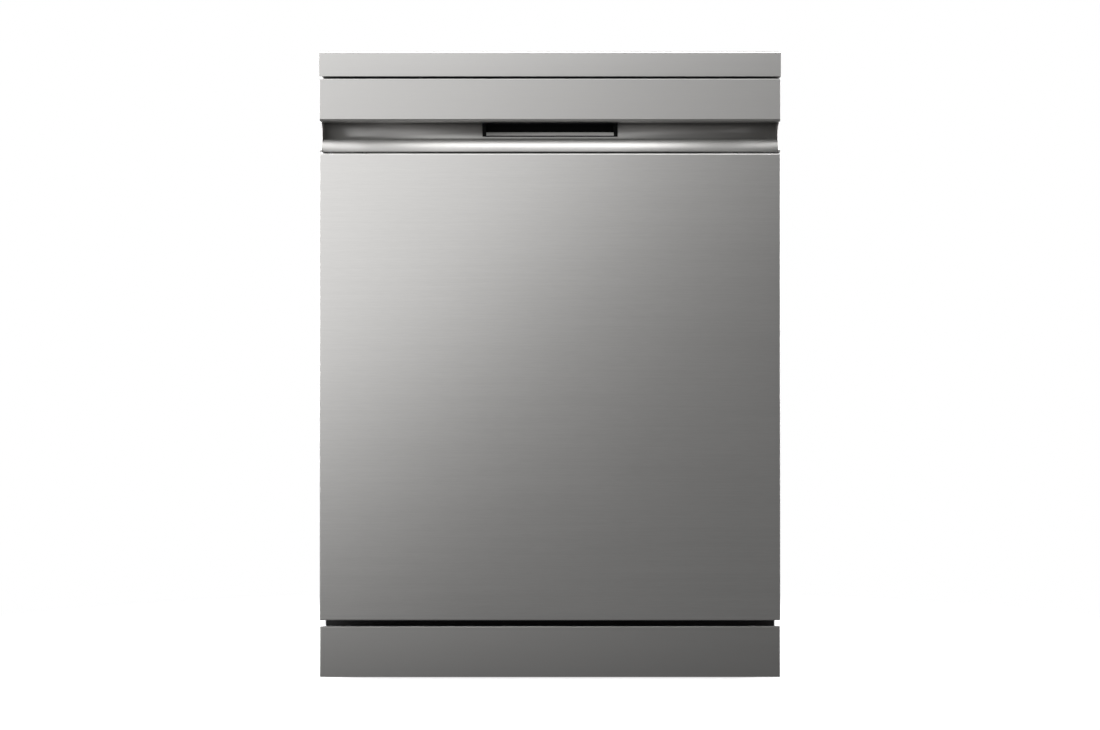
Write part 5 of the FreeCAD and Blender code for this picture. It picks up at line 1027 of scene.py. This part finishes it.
        frame_round(-244 * MM, 244 * MM, 186 * MM, 738 * MM, 26 * MM)
        out = 14 * MM
        frame_round(box_low[0] - out, box_high[0] + out, box_low[2] - out, box_high[2] + out, 16 * MM)
        for z in (236, 286, 336):
            middle = np.array([0.0, deep, z * MM])
            for side in (-1, 1):
                skin.pin(middle, middle + side * 190 * MM * AXIS_X, BEAD_R, 14)
        skin.piece("inner_door_beads", "door", "stainless_inner", "inner", 60)


# ---- water parts


def knurl(number, depth, low, high):
    """A ripple of grip ribs between two heights: depth * (cos(number * angle) - 1) / 2."""

    def ripple(height, angle):
        return np.where((height > low) & (height < high), depth * (np.cos(number * angle) - 1) / 2, 0.0)

    return ripple


class DISHWASHER_OT_water(Operator):
    """Spray arms, filter, salt cap and the dispenser's mouldings"""

    bl_idname = "dishwasher.water"
    bl_label = "Water parts"

    def execute(self, context):
        self.spray_arm("lower_spray_arm", (60, 90, 120, 150, 180), True)
        self.spray_arm("upper_spray_arm", (50, 80, 110, 140), False)
        eased_copy("filter_cylinder", "filter_cup", "filter_cylinder", "dark", 0.5 * MM)
        eased_copy("feed_pipe", "riser_pipe", "cabinet", "grey", 0.4 * MM)
        eased_copy("upper_feed_tube", "rack_feed_tube", "upper_rack", "grey", 0.4 * MM)
        self.salt_cap()
        eased_copy("dispenser_body", "dispenser_case", "door", "dark", 0.6 * MM)
        eased_copy("dispenser_lid", "detergent_lid", "dispenser_lid", "grey", 0.6 * MM)
        eased_copy("rinse_aid_cap", "rinse_cap", "rinse_aid_cap", "grey", 0.5 * MM)
        centre, tip = bore_line("rinse_aid_cap")
        face = tip - 9 * MM
        skin = Skin()
        ring = np.array([(0.3, 13.5), (0.3, 16.9), (3.4, 16.9), (4.2, 16.2), (4.2, 13.5)]) * MM
        ring = ring + np.array([face, 0])
        skin.lathe(ring, centre, AXIS_Y, 160, knurl(40, 0.8 * MM, face, face + 3.6 * MM), closed=True)
        skin.piece("rinse_cap_grip", "rinse_aid_cap", "grey_plastic", "dark", 40)
        return {"FINISHED"}

    def salt_cap(self):
        """A ribbed screw cap with a grip bar on top; the profile is in shares of height and radius."""
        node, ribs = "salt_cap", 36
        profile = np.array([(0, 0.3), (0, 0.96), (0.08, 1.0), (0.5, 1.0), (0.6, 0.9), (0.6, 0.3)])
        centre, radius, height = foot_point(node)
        skin = Skin()
        skin.lathe(
            profile * np.array([height, radius]), centre, AXIS_Z, ribs * 4,
            knurl(ribs, 1.6 * MM, 0.05 * height, 0.55 * height),
        )
        cap = skin.piece(f"{node}_body", node, "grey_plastic", "pale", 45)
        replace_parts(cap, node)
        bar = Skin()
        bar.block(centre + np.array([-24, -3.5, 11]) * MM, centre + np.array([24 * MM, 3.5 * MM, height]))
        ease(bar.piece(f"{node}_bar", node, "grey_plastic", "pale"), 2.0 * MM, 4)

    def spray_arm(self, node, jets, from_below):
        """A blade of flattened oval section: its width and height fall from the hub and close at the tips."""
        low, high = node_box(node)
        centre = (low + high) / 2
        reach = (high[0] - low[0]) / 2
        height = high[2] - low[2]
        u = np.sin(np.linspace(-math.pi / 2, math.pi / 2, 121)) * 0.9995
        close = np.sqrt(1 - np.abs(u) ** 14)
        width = 23.5 * MM * (0.7 + 0.3 * np.exp(-((u / 0.17) ** 2))) * close
        rise = height * (0.66 + 0.34 * np.exp(-((u / 0.11) ** 4))) * close
        angle = np.linspace(0, 2 * math.pi, 36, endpoint=False)
        across = np.sign(np.cos(angle)) * np.abs(np.cos(angle)) ** 0.75
        up = np.sign(np.sin(angle)) * np.abs(np.sin(angle)) ** 0.6
        keel = 1 + 0.35 * np.exp(-((across / 0.25) ** 2)) * (up > 0)
        rings = np.empty((len(u), len(angle), 3))
        rings[..., 0] = (centre[0] + u * reach)[:, None]
        rings[..., 1] = centre[1] + width[:, None] * across[None]
        sign = 1 if from_below else -1
        base = low[2] if from_below else high[2]
        shape = (up / keel.max() * keel + 1) / 2
        rings[..., 2] = base + sign * rise[:, None] * shape[None]
        skin = Skin()
        skin.loft(rings)
        nozzle = np.array([(0, 5.0), (2.6, 4.4), (3.4, 3.2), (3.4, 1.6), (2.2, 1.4), (2.2, 0.1)]) * MM
        nozzle[:, 0] += height / 2
        for x in jets:
            for side in (-1, 1):
                at = np.array([centre[0] + side * x * MM, centre[1] + 8 * MM * side, low[2]])
                skin.lathe(nozzle, at, AXIS_Z, 20)
        arm = skin.piece(f"{node}_blade", node, "grey_plastic", "grey", 40)
        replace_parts(arm, node)


# ---- racks


def rack_cage(skin, half, front, rear, top, rise, look):
    """Wires bent up at both ends, laid both ways across a rack, with a middle hoop and a stout top hoop."""
    r = look.wire_radius
    low = top - rise
    lay = 2 * r - 0.5 * MM
    inset = CAGE_INSET
    for x in spaced(-half + inset, half - inset, WIRE_PITCH):
        corners = [(x, front, top), (x, front, low), (x, rear, low), (x, rear, top)]
        skin.tube(rounded_path(corners, WIRE_BEND), r, AXIS_X, 9)
    for y in spaced(front + inset, rear - inset, WIRE_PITCH):
        corners = [(-half, y, top), (-half, y, low + lay), (half, y, low + lay), (half, y, top)]
        skin.tube(rounded_path(corners, WIRE_BEND), r, AXIS_Y, 9)
    loop = rounded_loop(half, (rear - front) / 2, 9 * MM, 8)
    for z, radius in ((top, HOOP_R), (low + rise / 2, r), (low + rise * 0.78, r)):
        path = np.column_stack([loop[:, 0], loop[:, 1] + (front + rear) / 2, np.full(len(loop), z)])
        skin.tube(path, radius, AXIS_Z, 10, closed=True)


def tine_row(skin, xs, y, z0):
    """Plate tines on a line along X: each rises, then leans a little way back over its last part."""
    for x in xs:
        foot = np.array([x, y, z0])
        knee = foot + np.array([0, 0, TINE_HEIGHT * 0.55])
        tip = foot + np.array([0, TINE_LEAN, TINE_HEIGHT])
        path = rounded_path([foot, knee, tip - (tip - knee) * 0.02], 14 * MM, 5)
        t = np.array([0.5, 0.85, 0.98])
        way = (tip - knee) / np.linalg.norm(tip - knee)
        path = np.vstack([path, path[-1] + way * TINE_R * t[:, None]])
        radii = np.concatenate([np.full(len(path) - 3, TINE_R), TINE_R * np.sqrt(1 - t * t)])
        skin.tube(path, radii, AXIS_X, 8)


class DISHWASHER_OT_racks(Operator):
    """Both racks, their tines, wheels and rails, the cutlery basket and the cup shelf"""

    bl_idname = "dishwasher.racks"
    bl_label = "Racks"

    def execute(self, context):
        look = context.scene.dishwasher_look
        low, high = node_box("lower_rack")
        wheel_high = node_box("wheels_front")[1]
        half = wheel_high[0] - 12 * MM
        front, rear, top = low[1] + HOOP_R, high[1] - HOOP_R, high[2] - HOOP_R
        self.lower(look, half, front, rear, top)
        self.upper(look, front)
        for node in ("wheels_front", "wheels_rear"):
            self.wheels(node)
        self.tines(look)
        self.basket()
        eased_copy("cup_shelf", "cup_shelf_sheet", "cup_shelf", "grey", 0.8 * MM, 3)
        eased_copy("upper_rails", "outer_rails", "cabinet", "rail", 0.4 * MM)
        eased_copy("rail_sliders", "middle_rails", "rail_sliders", "rail", 0.4 * MM)
        return {"FINISHED"}

    def lower(self, look, half, front, rear, top):
        """Lower rack: cage, three fixed tine rows, wheel plates with axles and a front grip."""
        skin = Skin()
        rise = LOWER_RISE
        low = top - rise
        rack_cage(skin, half, front, rear, top, rise, look)
        tine_low, tine_high = node_box("folding_tines")
        xs = spaced(tine_low[0] + TINE_INSET, tine_high[0] - TINE_INSET, look.tine_pitch)
        for y in (45 * MM, 120 * MM, 182 * MM):
            tine_row(skin, xs, y, low + HOOP_R)
            rod = low + 4 * MM
            skin.pin((xs[0] - 6 * MM, y, rod), (xs[-1] + 6 * MM, y, rod), ROD_R, 8)
        rack = skin.piece("lower_rack_wires", "lower_rack", "coated_wire", "wire", 50)
        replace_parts(rack, "lower_rack")
        plates = Skin()
        for node in ("wheels_front", "wheels_rear"):
            wheel_low, wheel_high = node_box(node)
            y, z = (wheel_low[1] + wheel_high[1]) / 2, (wheel_low[2] + wheel_high[2]) / 2
            for side in (-1, 1):
                inner, outer = sorted((side * (half - 2.3 * MM), side * (half + 2.3 * MM)))
                plates.block((inner, y - 13 * MM, z - 6 * MM), (outer, y + 13 * MM, low + rise / 2 + 3 * MM))
                for start, long, radius in ((0.0, 13.0, 3.0), (12.5, 14.4 - 12.5, 4.8)):
                    at = np.array([side * (half + start * MM), y, z])
                    profile = [(0, 0.1), (0, radius), (long * 0.8, radius), (long, radius * 0.7), (long, 0.1)]
                    profile = np.array(profile) * MM
                    plates.lathe(profile, at, AXIS_X * side, 24)
        ease(plates.piece("wheel_plates", "lower_rack", "coated_wire", "dark"), 1.0 * MM, 3)
        self.grip("lower_rack_grip", "lower_rack", front, top)

    def grip(self, name, body, front, top):
        """A rounded handle moulding along the middle of a rack's front hoop."""
        skin = Skin()
        x = np.linspace(-1, 1, 41)
        angle = np.linspace(0, 2 * math.pi, 20, endpoint=False)
        fade = np.sqrt(np.maximum(1 - x**10, 0.0004))
        rings = np.empty((41, 20, 3))
        rings[..., 0] = (x * 62 * MM)[:, None]
        rings[..., 1] = front + 4.0 * MM * fade[:, None] * np.cos(angle)[None]
        rings[..., 2] = top - 5 * MM + (9.0 * MM * np.sin(angle)[None] * fade[:, None])
        rings[..., 2] = np.minimum(rings[..., 2], top + 2.4 * MM)
        skin.loft(rings)
        skin.piece(name, body, "grey_plastic", "grey", 50)

    def upper(self, look, front):
        """Upper rack: cage, inner rails with clips and two rows of short tines for cups."""
        high = node_box("upper_rack")[1]
        half = 6 * MM - node_box("cup_shelf")[0][0]
        rear, top = high[1] - HOOP_R, high[2] - HOOP_R
        skin = Skin()
        rise = UPPER_RISE
        rack_cage(skin, half, front, rear, top, rise, look)
        base = top - rise
        for x in (-60 * MM, 60 * MM):
            for y in np.arange(front + 40 * MM, rear - 30 * MM, 32 * MM):
                skin.pin((x, y, base + 4 * MM), (x + 6 * MM, y, base + 52 * MM), TINE_R, 8)
            rod = base + 4 * MM
            skin.pin((x, front + 30 * MM, rod), (x, rear - 30 * MM, rod), ROD_R, 8)
        rack = skin.piece("upper_rack_wires", "upper_rack", "coated_wire", "wire", 50)
        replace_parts(rack, "upper_rack")
        rail_low, rail_high = node_box("rail_sliders")
        rails = Skin()
        z = (rail_low[2] + rail_high[2]) / 2
        y0, y1 = rail_low[1], rail_high[1]
        for side in (-1, 1):
            x0 = high[0] - 11.7 * MM
            inward, outward = RAIL_HALF - RAIL_SHEET, RAIL_HALF
            x1 = x0 + RAIL_REACH
            parts = [(x0, x0 + RAIL_SHEET, z - outward, z + outward)]
            parts += [(x0, x1, z - outward, z - inward), (x0, x1, z + inward, z + outward)]
            for a, b, c, d in parts:
                inner, outer = sorted((side * a, side * b))
                rails.block((inner, y0, c), (outer, y1, d))
            for y in (y0 + 90 * MM, y1 - 110 * MM):
                inner, outer = sorted((side * (half - 2.5 * MM), side * (x0 + 0.5 * MM)))
                rails.block((inner, y, z - 13 * MM), (outer, y + 24 * MM, z + 13 * MM))
        ease(rails.piece("inner_rails", "upper_rack", "stainless_inner", "rail"), 0.5 * MM)
        self.grip("upper_rack_grip", "upper_rack", front, top)

    def wheels(self, node):
        """Rack wheels: a closed tyre and web profile swung round the axle, with five ribs on the web."""
        low, high = node_box(node)
        y, z = (low[1] + high[1]) / 2, (low[2] + high[2]) / 2
        radius = (high[1] - low[1]) / 2
        skin = Skin()
        loop = [(0.5, 3.3), (0.5, 6), (3, 6.4), (3, 13), (0.6, 13.6), (0.2, 16.5), (1.4, 17.9), (4.5, 18)]
        loop += [(7.6, 17.9), (8.8, 16.5), (8.4, 13.6), (6, 13), (6, 6.4), (8.6, 6), (8.6, 3.3)]
        loop = np.array(loop) * MM * np.array([1, radius / WHEEL_R])
        for side in (-1, 1):
            at = np.array([side * (high[0] - WHEEL_HALF), y, z])
            skin.lathe(loop, at, AXIS_X * side, 60, closed=True)
            for turn in np.linspace(0, 2 * math.pi, 5, endpoint=False):
                way = math.cos(turn) * AXIS_Y + math.sin(turn) * AXIS_Z
                middle = at + AXIS_X * side * WHEEL_HALF / 2
                skin.pin(middle + way * 5 * MM, middle + way * 14 * MM, 2.4 * MM, 10)
        wheels = skin.piece(f"{node}_tyres", node, "grey_plastic", "pale", 40)
        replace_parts(wheels, node)

    def tines(self, look):
        """The folding row: a rod with rounded ends and the tines on it."""
        low, high = node_box("folding_tines")
        y, z = (low[1] + high[1]) / 2, low[2] + 2 * MM
        skin = Skin()
        middle = (low[0] + high[0]) / 2
        skin.pin((middle, y, z), (low[0], y, z), 2.0 * MM, 12)
        skin.pin((middle, y, z), (high[0], y, z), 2.0 * MM, 12)
        for x in spaced(low[0] + TINE_INSET, high[0] - TINE_INSET, look.tine_pitch):
            skin.pin((x, y, z), (x, y, high[2]), TINE_R, 8)
        row = skin.piece("folding_tine_row", "folding_tines", "coated_wire", "wire", 50)
        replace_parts(row, "folding_tines")

    def basket(self):
        """Cutlery basket: lattice walls and floor, a divider with cross ribs, and a loop handle."""
        low, high = node_box("cutlery_basket")
        x0, y0, z0 = low
        x1, y1, top = high
        z1 = z0 + BASKET_WALL
        bars = Skin()
        bar, wall = BAR_HALF, BASKET_SHEET
        ys = spaced(y0 + 1 * MM, y1 - 1 * MM, BASKET_PITCH)
        xs = spaced(x0 + 1 * MM, x1 - 1 * MM, BASKET_PITCH)
        for y in ys:
            for x in (x0, x1 - wall):
                bars.block((x + 0.2 * MM, y - bar, z0), (x + 1.8 * MM, y + bar, z1 - 3 * MM))
            bars.block((x0, y - bar, z0), (x1, y + bar, z0 + 1.8 * MM))
        for x in xs:
            for y in (y0, y1 - wall):
                bars.block((x - bar, y + 0.2 * MM, z0), (x + bar, y + 1.8 * MM, z1 - 3 * MM))
            bars.block((x - bar, y0, z0), (x + bar, y1, z0 + 1.8 * MM))
        for z, tall in ((z0, 7 * MM), (z0 + 34 * MM, 3 * MM), (z0 + 66 * MM, 3 * MM), (z1 - 9 * MM, 9 * MM)):
            for x in (x0, x1 - wall):
                bars.block((x, y0, z), (x + wall, y1, z + tall))
            for y in (y0, y1 - wall):
                bars.block((x0, y, z), (x1, y + wall, z + tall))
        middle, mid_y = (x0 + x1) / 2, (y0 + y1) / 2
        bars.block((middle - 1 * MM, y0 + 1 * MM, z0 + 1 * MM), (middle + 1 * MM, y1 - 1 * MM, z0 + 60 * MM))
        for y in spaced(y0 + 40 * MM, y1 - 40 * MM, 40 * MM):
            bars.block((x0 + 1 * MM, y - 0.8 * MM, z0 + 1 * MM), (x1 - 1 * MM, y + 0.8 * MM, z0 + 52 * MM))
        basket = bars.piece("cutlery_lattice", "cutlery_basket", "grey_plastic", "grey")
        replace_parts(basket, "cutlery_basket")
        handle = Skin()
        front, rear, foot = mid_y - HANDLE_HALF, mid_y + HANDLE_HALF, z0 + HANDLE_FOOT
        for y in (front, rear - HANDLE_POST):
            handle.block((middle - 1.8 * MM, y, foot), (middle + 1.8 * MM, y + HANDLE_POST, top - 2 * MM))
        handle.block((middle - 2 * MM, front, top - 7.5 * MM), (middle + 2 * MM, rear, top))
        handle.block((middle - 1 * MM, front, foot), (middle + 1 * MM, rear, z1 + 33 * MM))
        ease(handle.piece("cutlery_grip", "cutlery_basket", "grey_plastic", "grey"), 0.9 * MM, 3)


# ---- stage


def area_light(name, place, aim, size, power, roll=0.0):
    """A soft rectangular light that points from its place to an aim, rolled in its own plane."""
    light = bpy.data.lights.new(name, "AREA")
    light.shape = "RECTANGLE"
    light.size, light.size_y = size
    light.energy = power
    lamp = bpy.data.objects.new(name, light)
    direction = Vector(aim) - Vector(place)
    turned = direction.to_track_quat("-Z", "Y").to_matrix() @ Matrix.Rotation(roll, 3, "Z")
    lamp.location = place
    lamp.rotation_euler = turned.to_euler()
    lamp.visible_camera = False
    bpy.context.scene.collection.objects.link(lamp)
    return lamp


class DISHWASHER_OT_stage(Operator):
    """Pale floor, soft lights, plain surroundings and the camera"""

    bl_idname = "dishwasher.stage"
    bl_label = "Stage"

    def execute(self, context):
        low, high = (np.array(corner, float) for corner in CAD_BOX)
        floor = Skin()
        u = np.linspace(-1, 1, 3) * FLOOR_REACH
        xx, yy = np.meshgrid(u, u, indexing="ij")
        floor.grid(np.stack([xx, yy, np.full_like(xx, -FLOOR_DROP)], axis=-1))
        mesh = bpy.data.meshes.new("studio_floor")
        mesh.from_pydata(np.concatenate(floor.points).tolist(), [], floor.faces)
        mesh.materials.append(studio_paper("studio_paper", (0.9, 0.9, 0.9)))
        ground = bpy.data.objects.new("studio_floor", mesh)
        ground.visible_glossy = False
        ground.visible_diffuse = False
        context.scene.collection.objects.link(ground)

        world = bpy.data.worlds.new("studio")
        world.use_nodes = True
        nodes, links = world.node_tree.nodes, world.node_tree.links
        backdrop, seen = nodes["Background"], nodes.new("ShaderNodeBackground")
        for background, strength in ((backdrop, WORLD_LIGHT), (seen, 1.0)):
            background.inputs["Color"].default_value = (1.0, 1.0, 1.0, 1.0)
            background.inputs["Strength"].default_value = strength
        path = nodes.new("ShaderNodeLightPath")
        blend = nodes.new("ShaderNodeMixShader")
        links.new(path.outputs["Is Camera Ray"], blend.inputs[0])
        links.new(backdrop.outputs[0], blend.inputs[1])
        links.new(seen.outputs[0], blend.inputs[2])
        links.new(blend.outputs[0], nodes["World Output"].inputs["Surface"])
        context.scene.world = world

        middle = (low + high) / 2
        area_light("key_softbox", (-2.25, -4.8, 1.95), (-2.25, 0.0, 1.95), (4.2, 4.2), 75.0, math.pi / 4)
        area_light("top_softbox", (-0.2, -0.9, 2.9), (0.0, -0.2, 0.5), (3.4, 1.8), 80.0)
        area_light("left_softbox", (-3.2, 0.9, 1.4), middle, (2.4, 2.4), 110.0)
        area_light("right_softbox", (3.2, 1.1, 1.4), middle, (2.4, 2.4), 100.0)
        area_light("rear_softbox", (-0.8, 3.6, 0.75), middle, (2.6, 1.3), 110.0)

        lens = bpy.data.cameras.new("camera")
        lens.sensor_width = SENSOR_WIDTH
        lens.lens = SENSOR_WIDTH * CAMERA_DISTANCE * HEIGHT_IN_PICTURE_WIDTH / (high[2] - low[2])
        camera = bpy.data.objects.new("camera", lens)
        camera.location = (0.0, low[1] - CAMERA_DISTANCE, middle[2])
        camera.rotation_euler = (math.pi / 2, 0.0, 0.0)
        context.scene.collection.objects.link(camera)
        context.scene.camera = camera
        context.scene.view_settings.view_transform = "Standard"
        return {"FINISHED"}


class DISHWASHER_OT_finishes(Operator):
    """Materials for the frame nodes that are shown as they are"""

    bl_idname = "dishwasher.finishes"
    bl_label = "Frame finishes"

    def execute(self, context):
        for key, nodes in NODE_FINISH.items():
            for node in nodes:
                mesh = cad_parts[node].data
                for index in range(len(mesh.materials)):
                    mesh.materials[index] = finish_for(key)
                if not mesh.materials:
                    mesh.materials.append(finish_for(key))
        return {"FINISHED"}


OPERATORS = (
    DISHWASHER_OT_front,
    DISHWASHER_OT_controls,
    DISHWASHER_OT_casing,
    DISHWASHER_OT_tub,
    DISHWASHER_OT_water,
    DISHWASHER_OT_racks,
    DISHWASHER_OT_finishes,
    DISHWASHER_OT_stage,
)


class DISHWASHER_PT_panel(Panel):
    """Lists the steps that build the dishwasher"""

    bl_idname = "DISHWASHER_PT_panel"
    bl_label = "Dishwasher"
    bl_space_type = "VIEW_3D"
    bl_region_type = "UI"
    bl_category = "Dishwasher"

    def draw(self, context):
        look = context.scene.dishwasher_look
        for key in look.__annotations__:
            self.layout.prop(look, key)
        for operator in OPERATORS:
            self.layout.operator(operator.bl_idname)


CLASSES = (DishwasherLook, *OPERATORS, DISHWASHER_PT_panel)


def register():
    for item in CLASSES:
        bpy.utils.register_class(item)
    bpy.types.Scene.dishwasher_look = PointerProperty(type=DishwasherLook)


def unregister():
    del bpy.types.Scene.dishwasher_look
    for item in reversed(CLASSES):
        bpy.utils.unregister_class(item)


def main():
    """Build every piece in order."""
    register()
    for operator in OPERATORS:
        group, step = operator.bl_idname.split(".")
        getattr(getattr(bpy.ops, group), step)()


if __name__ == "__main__":
    main()
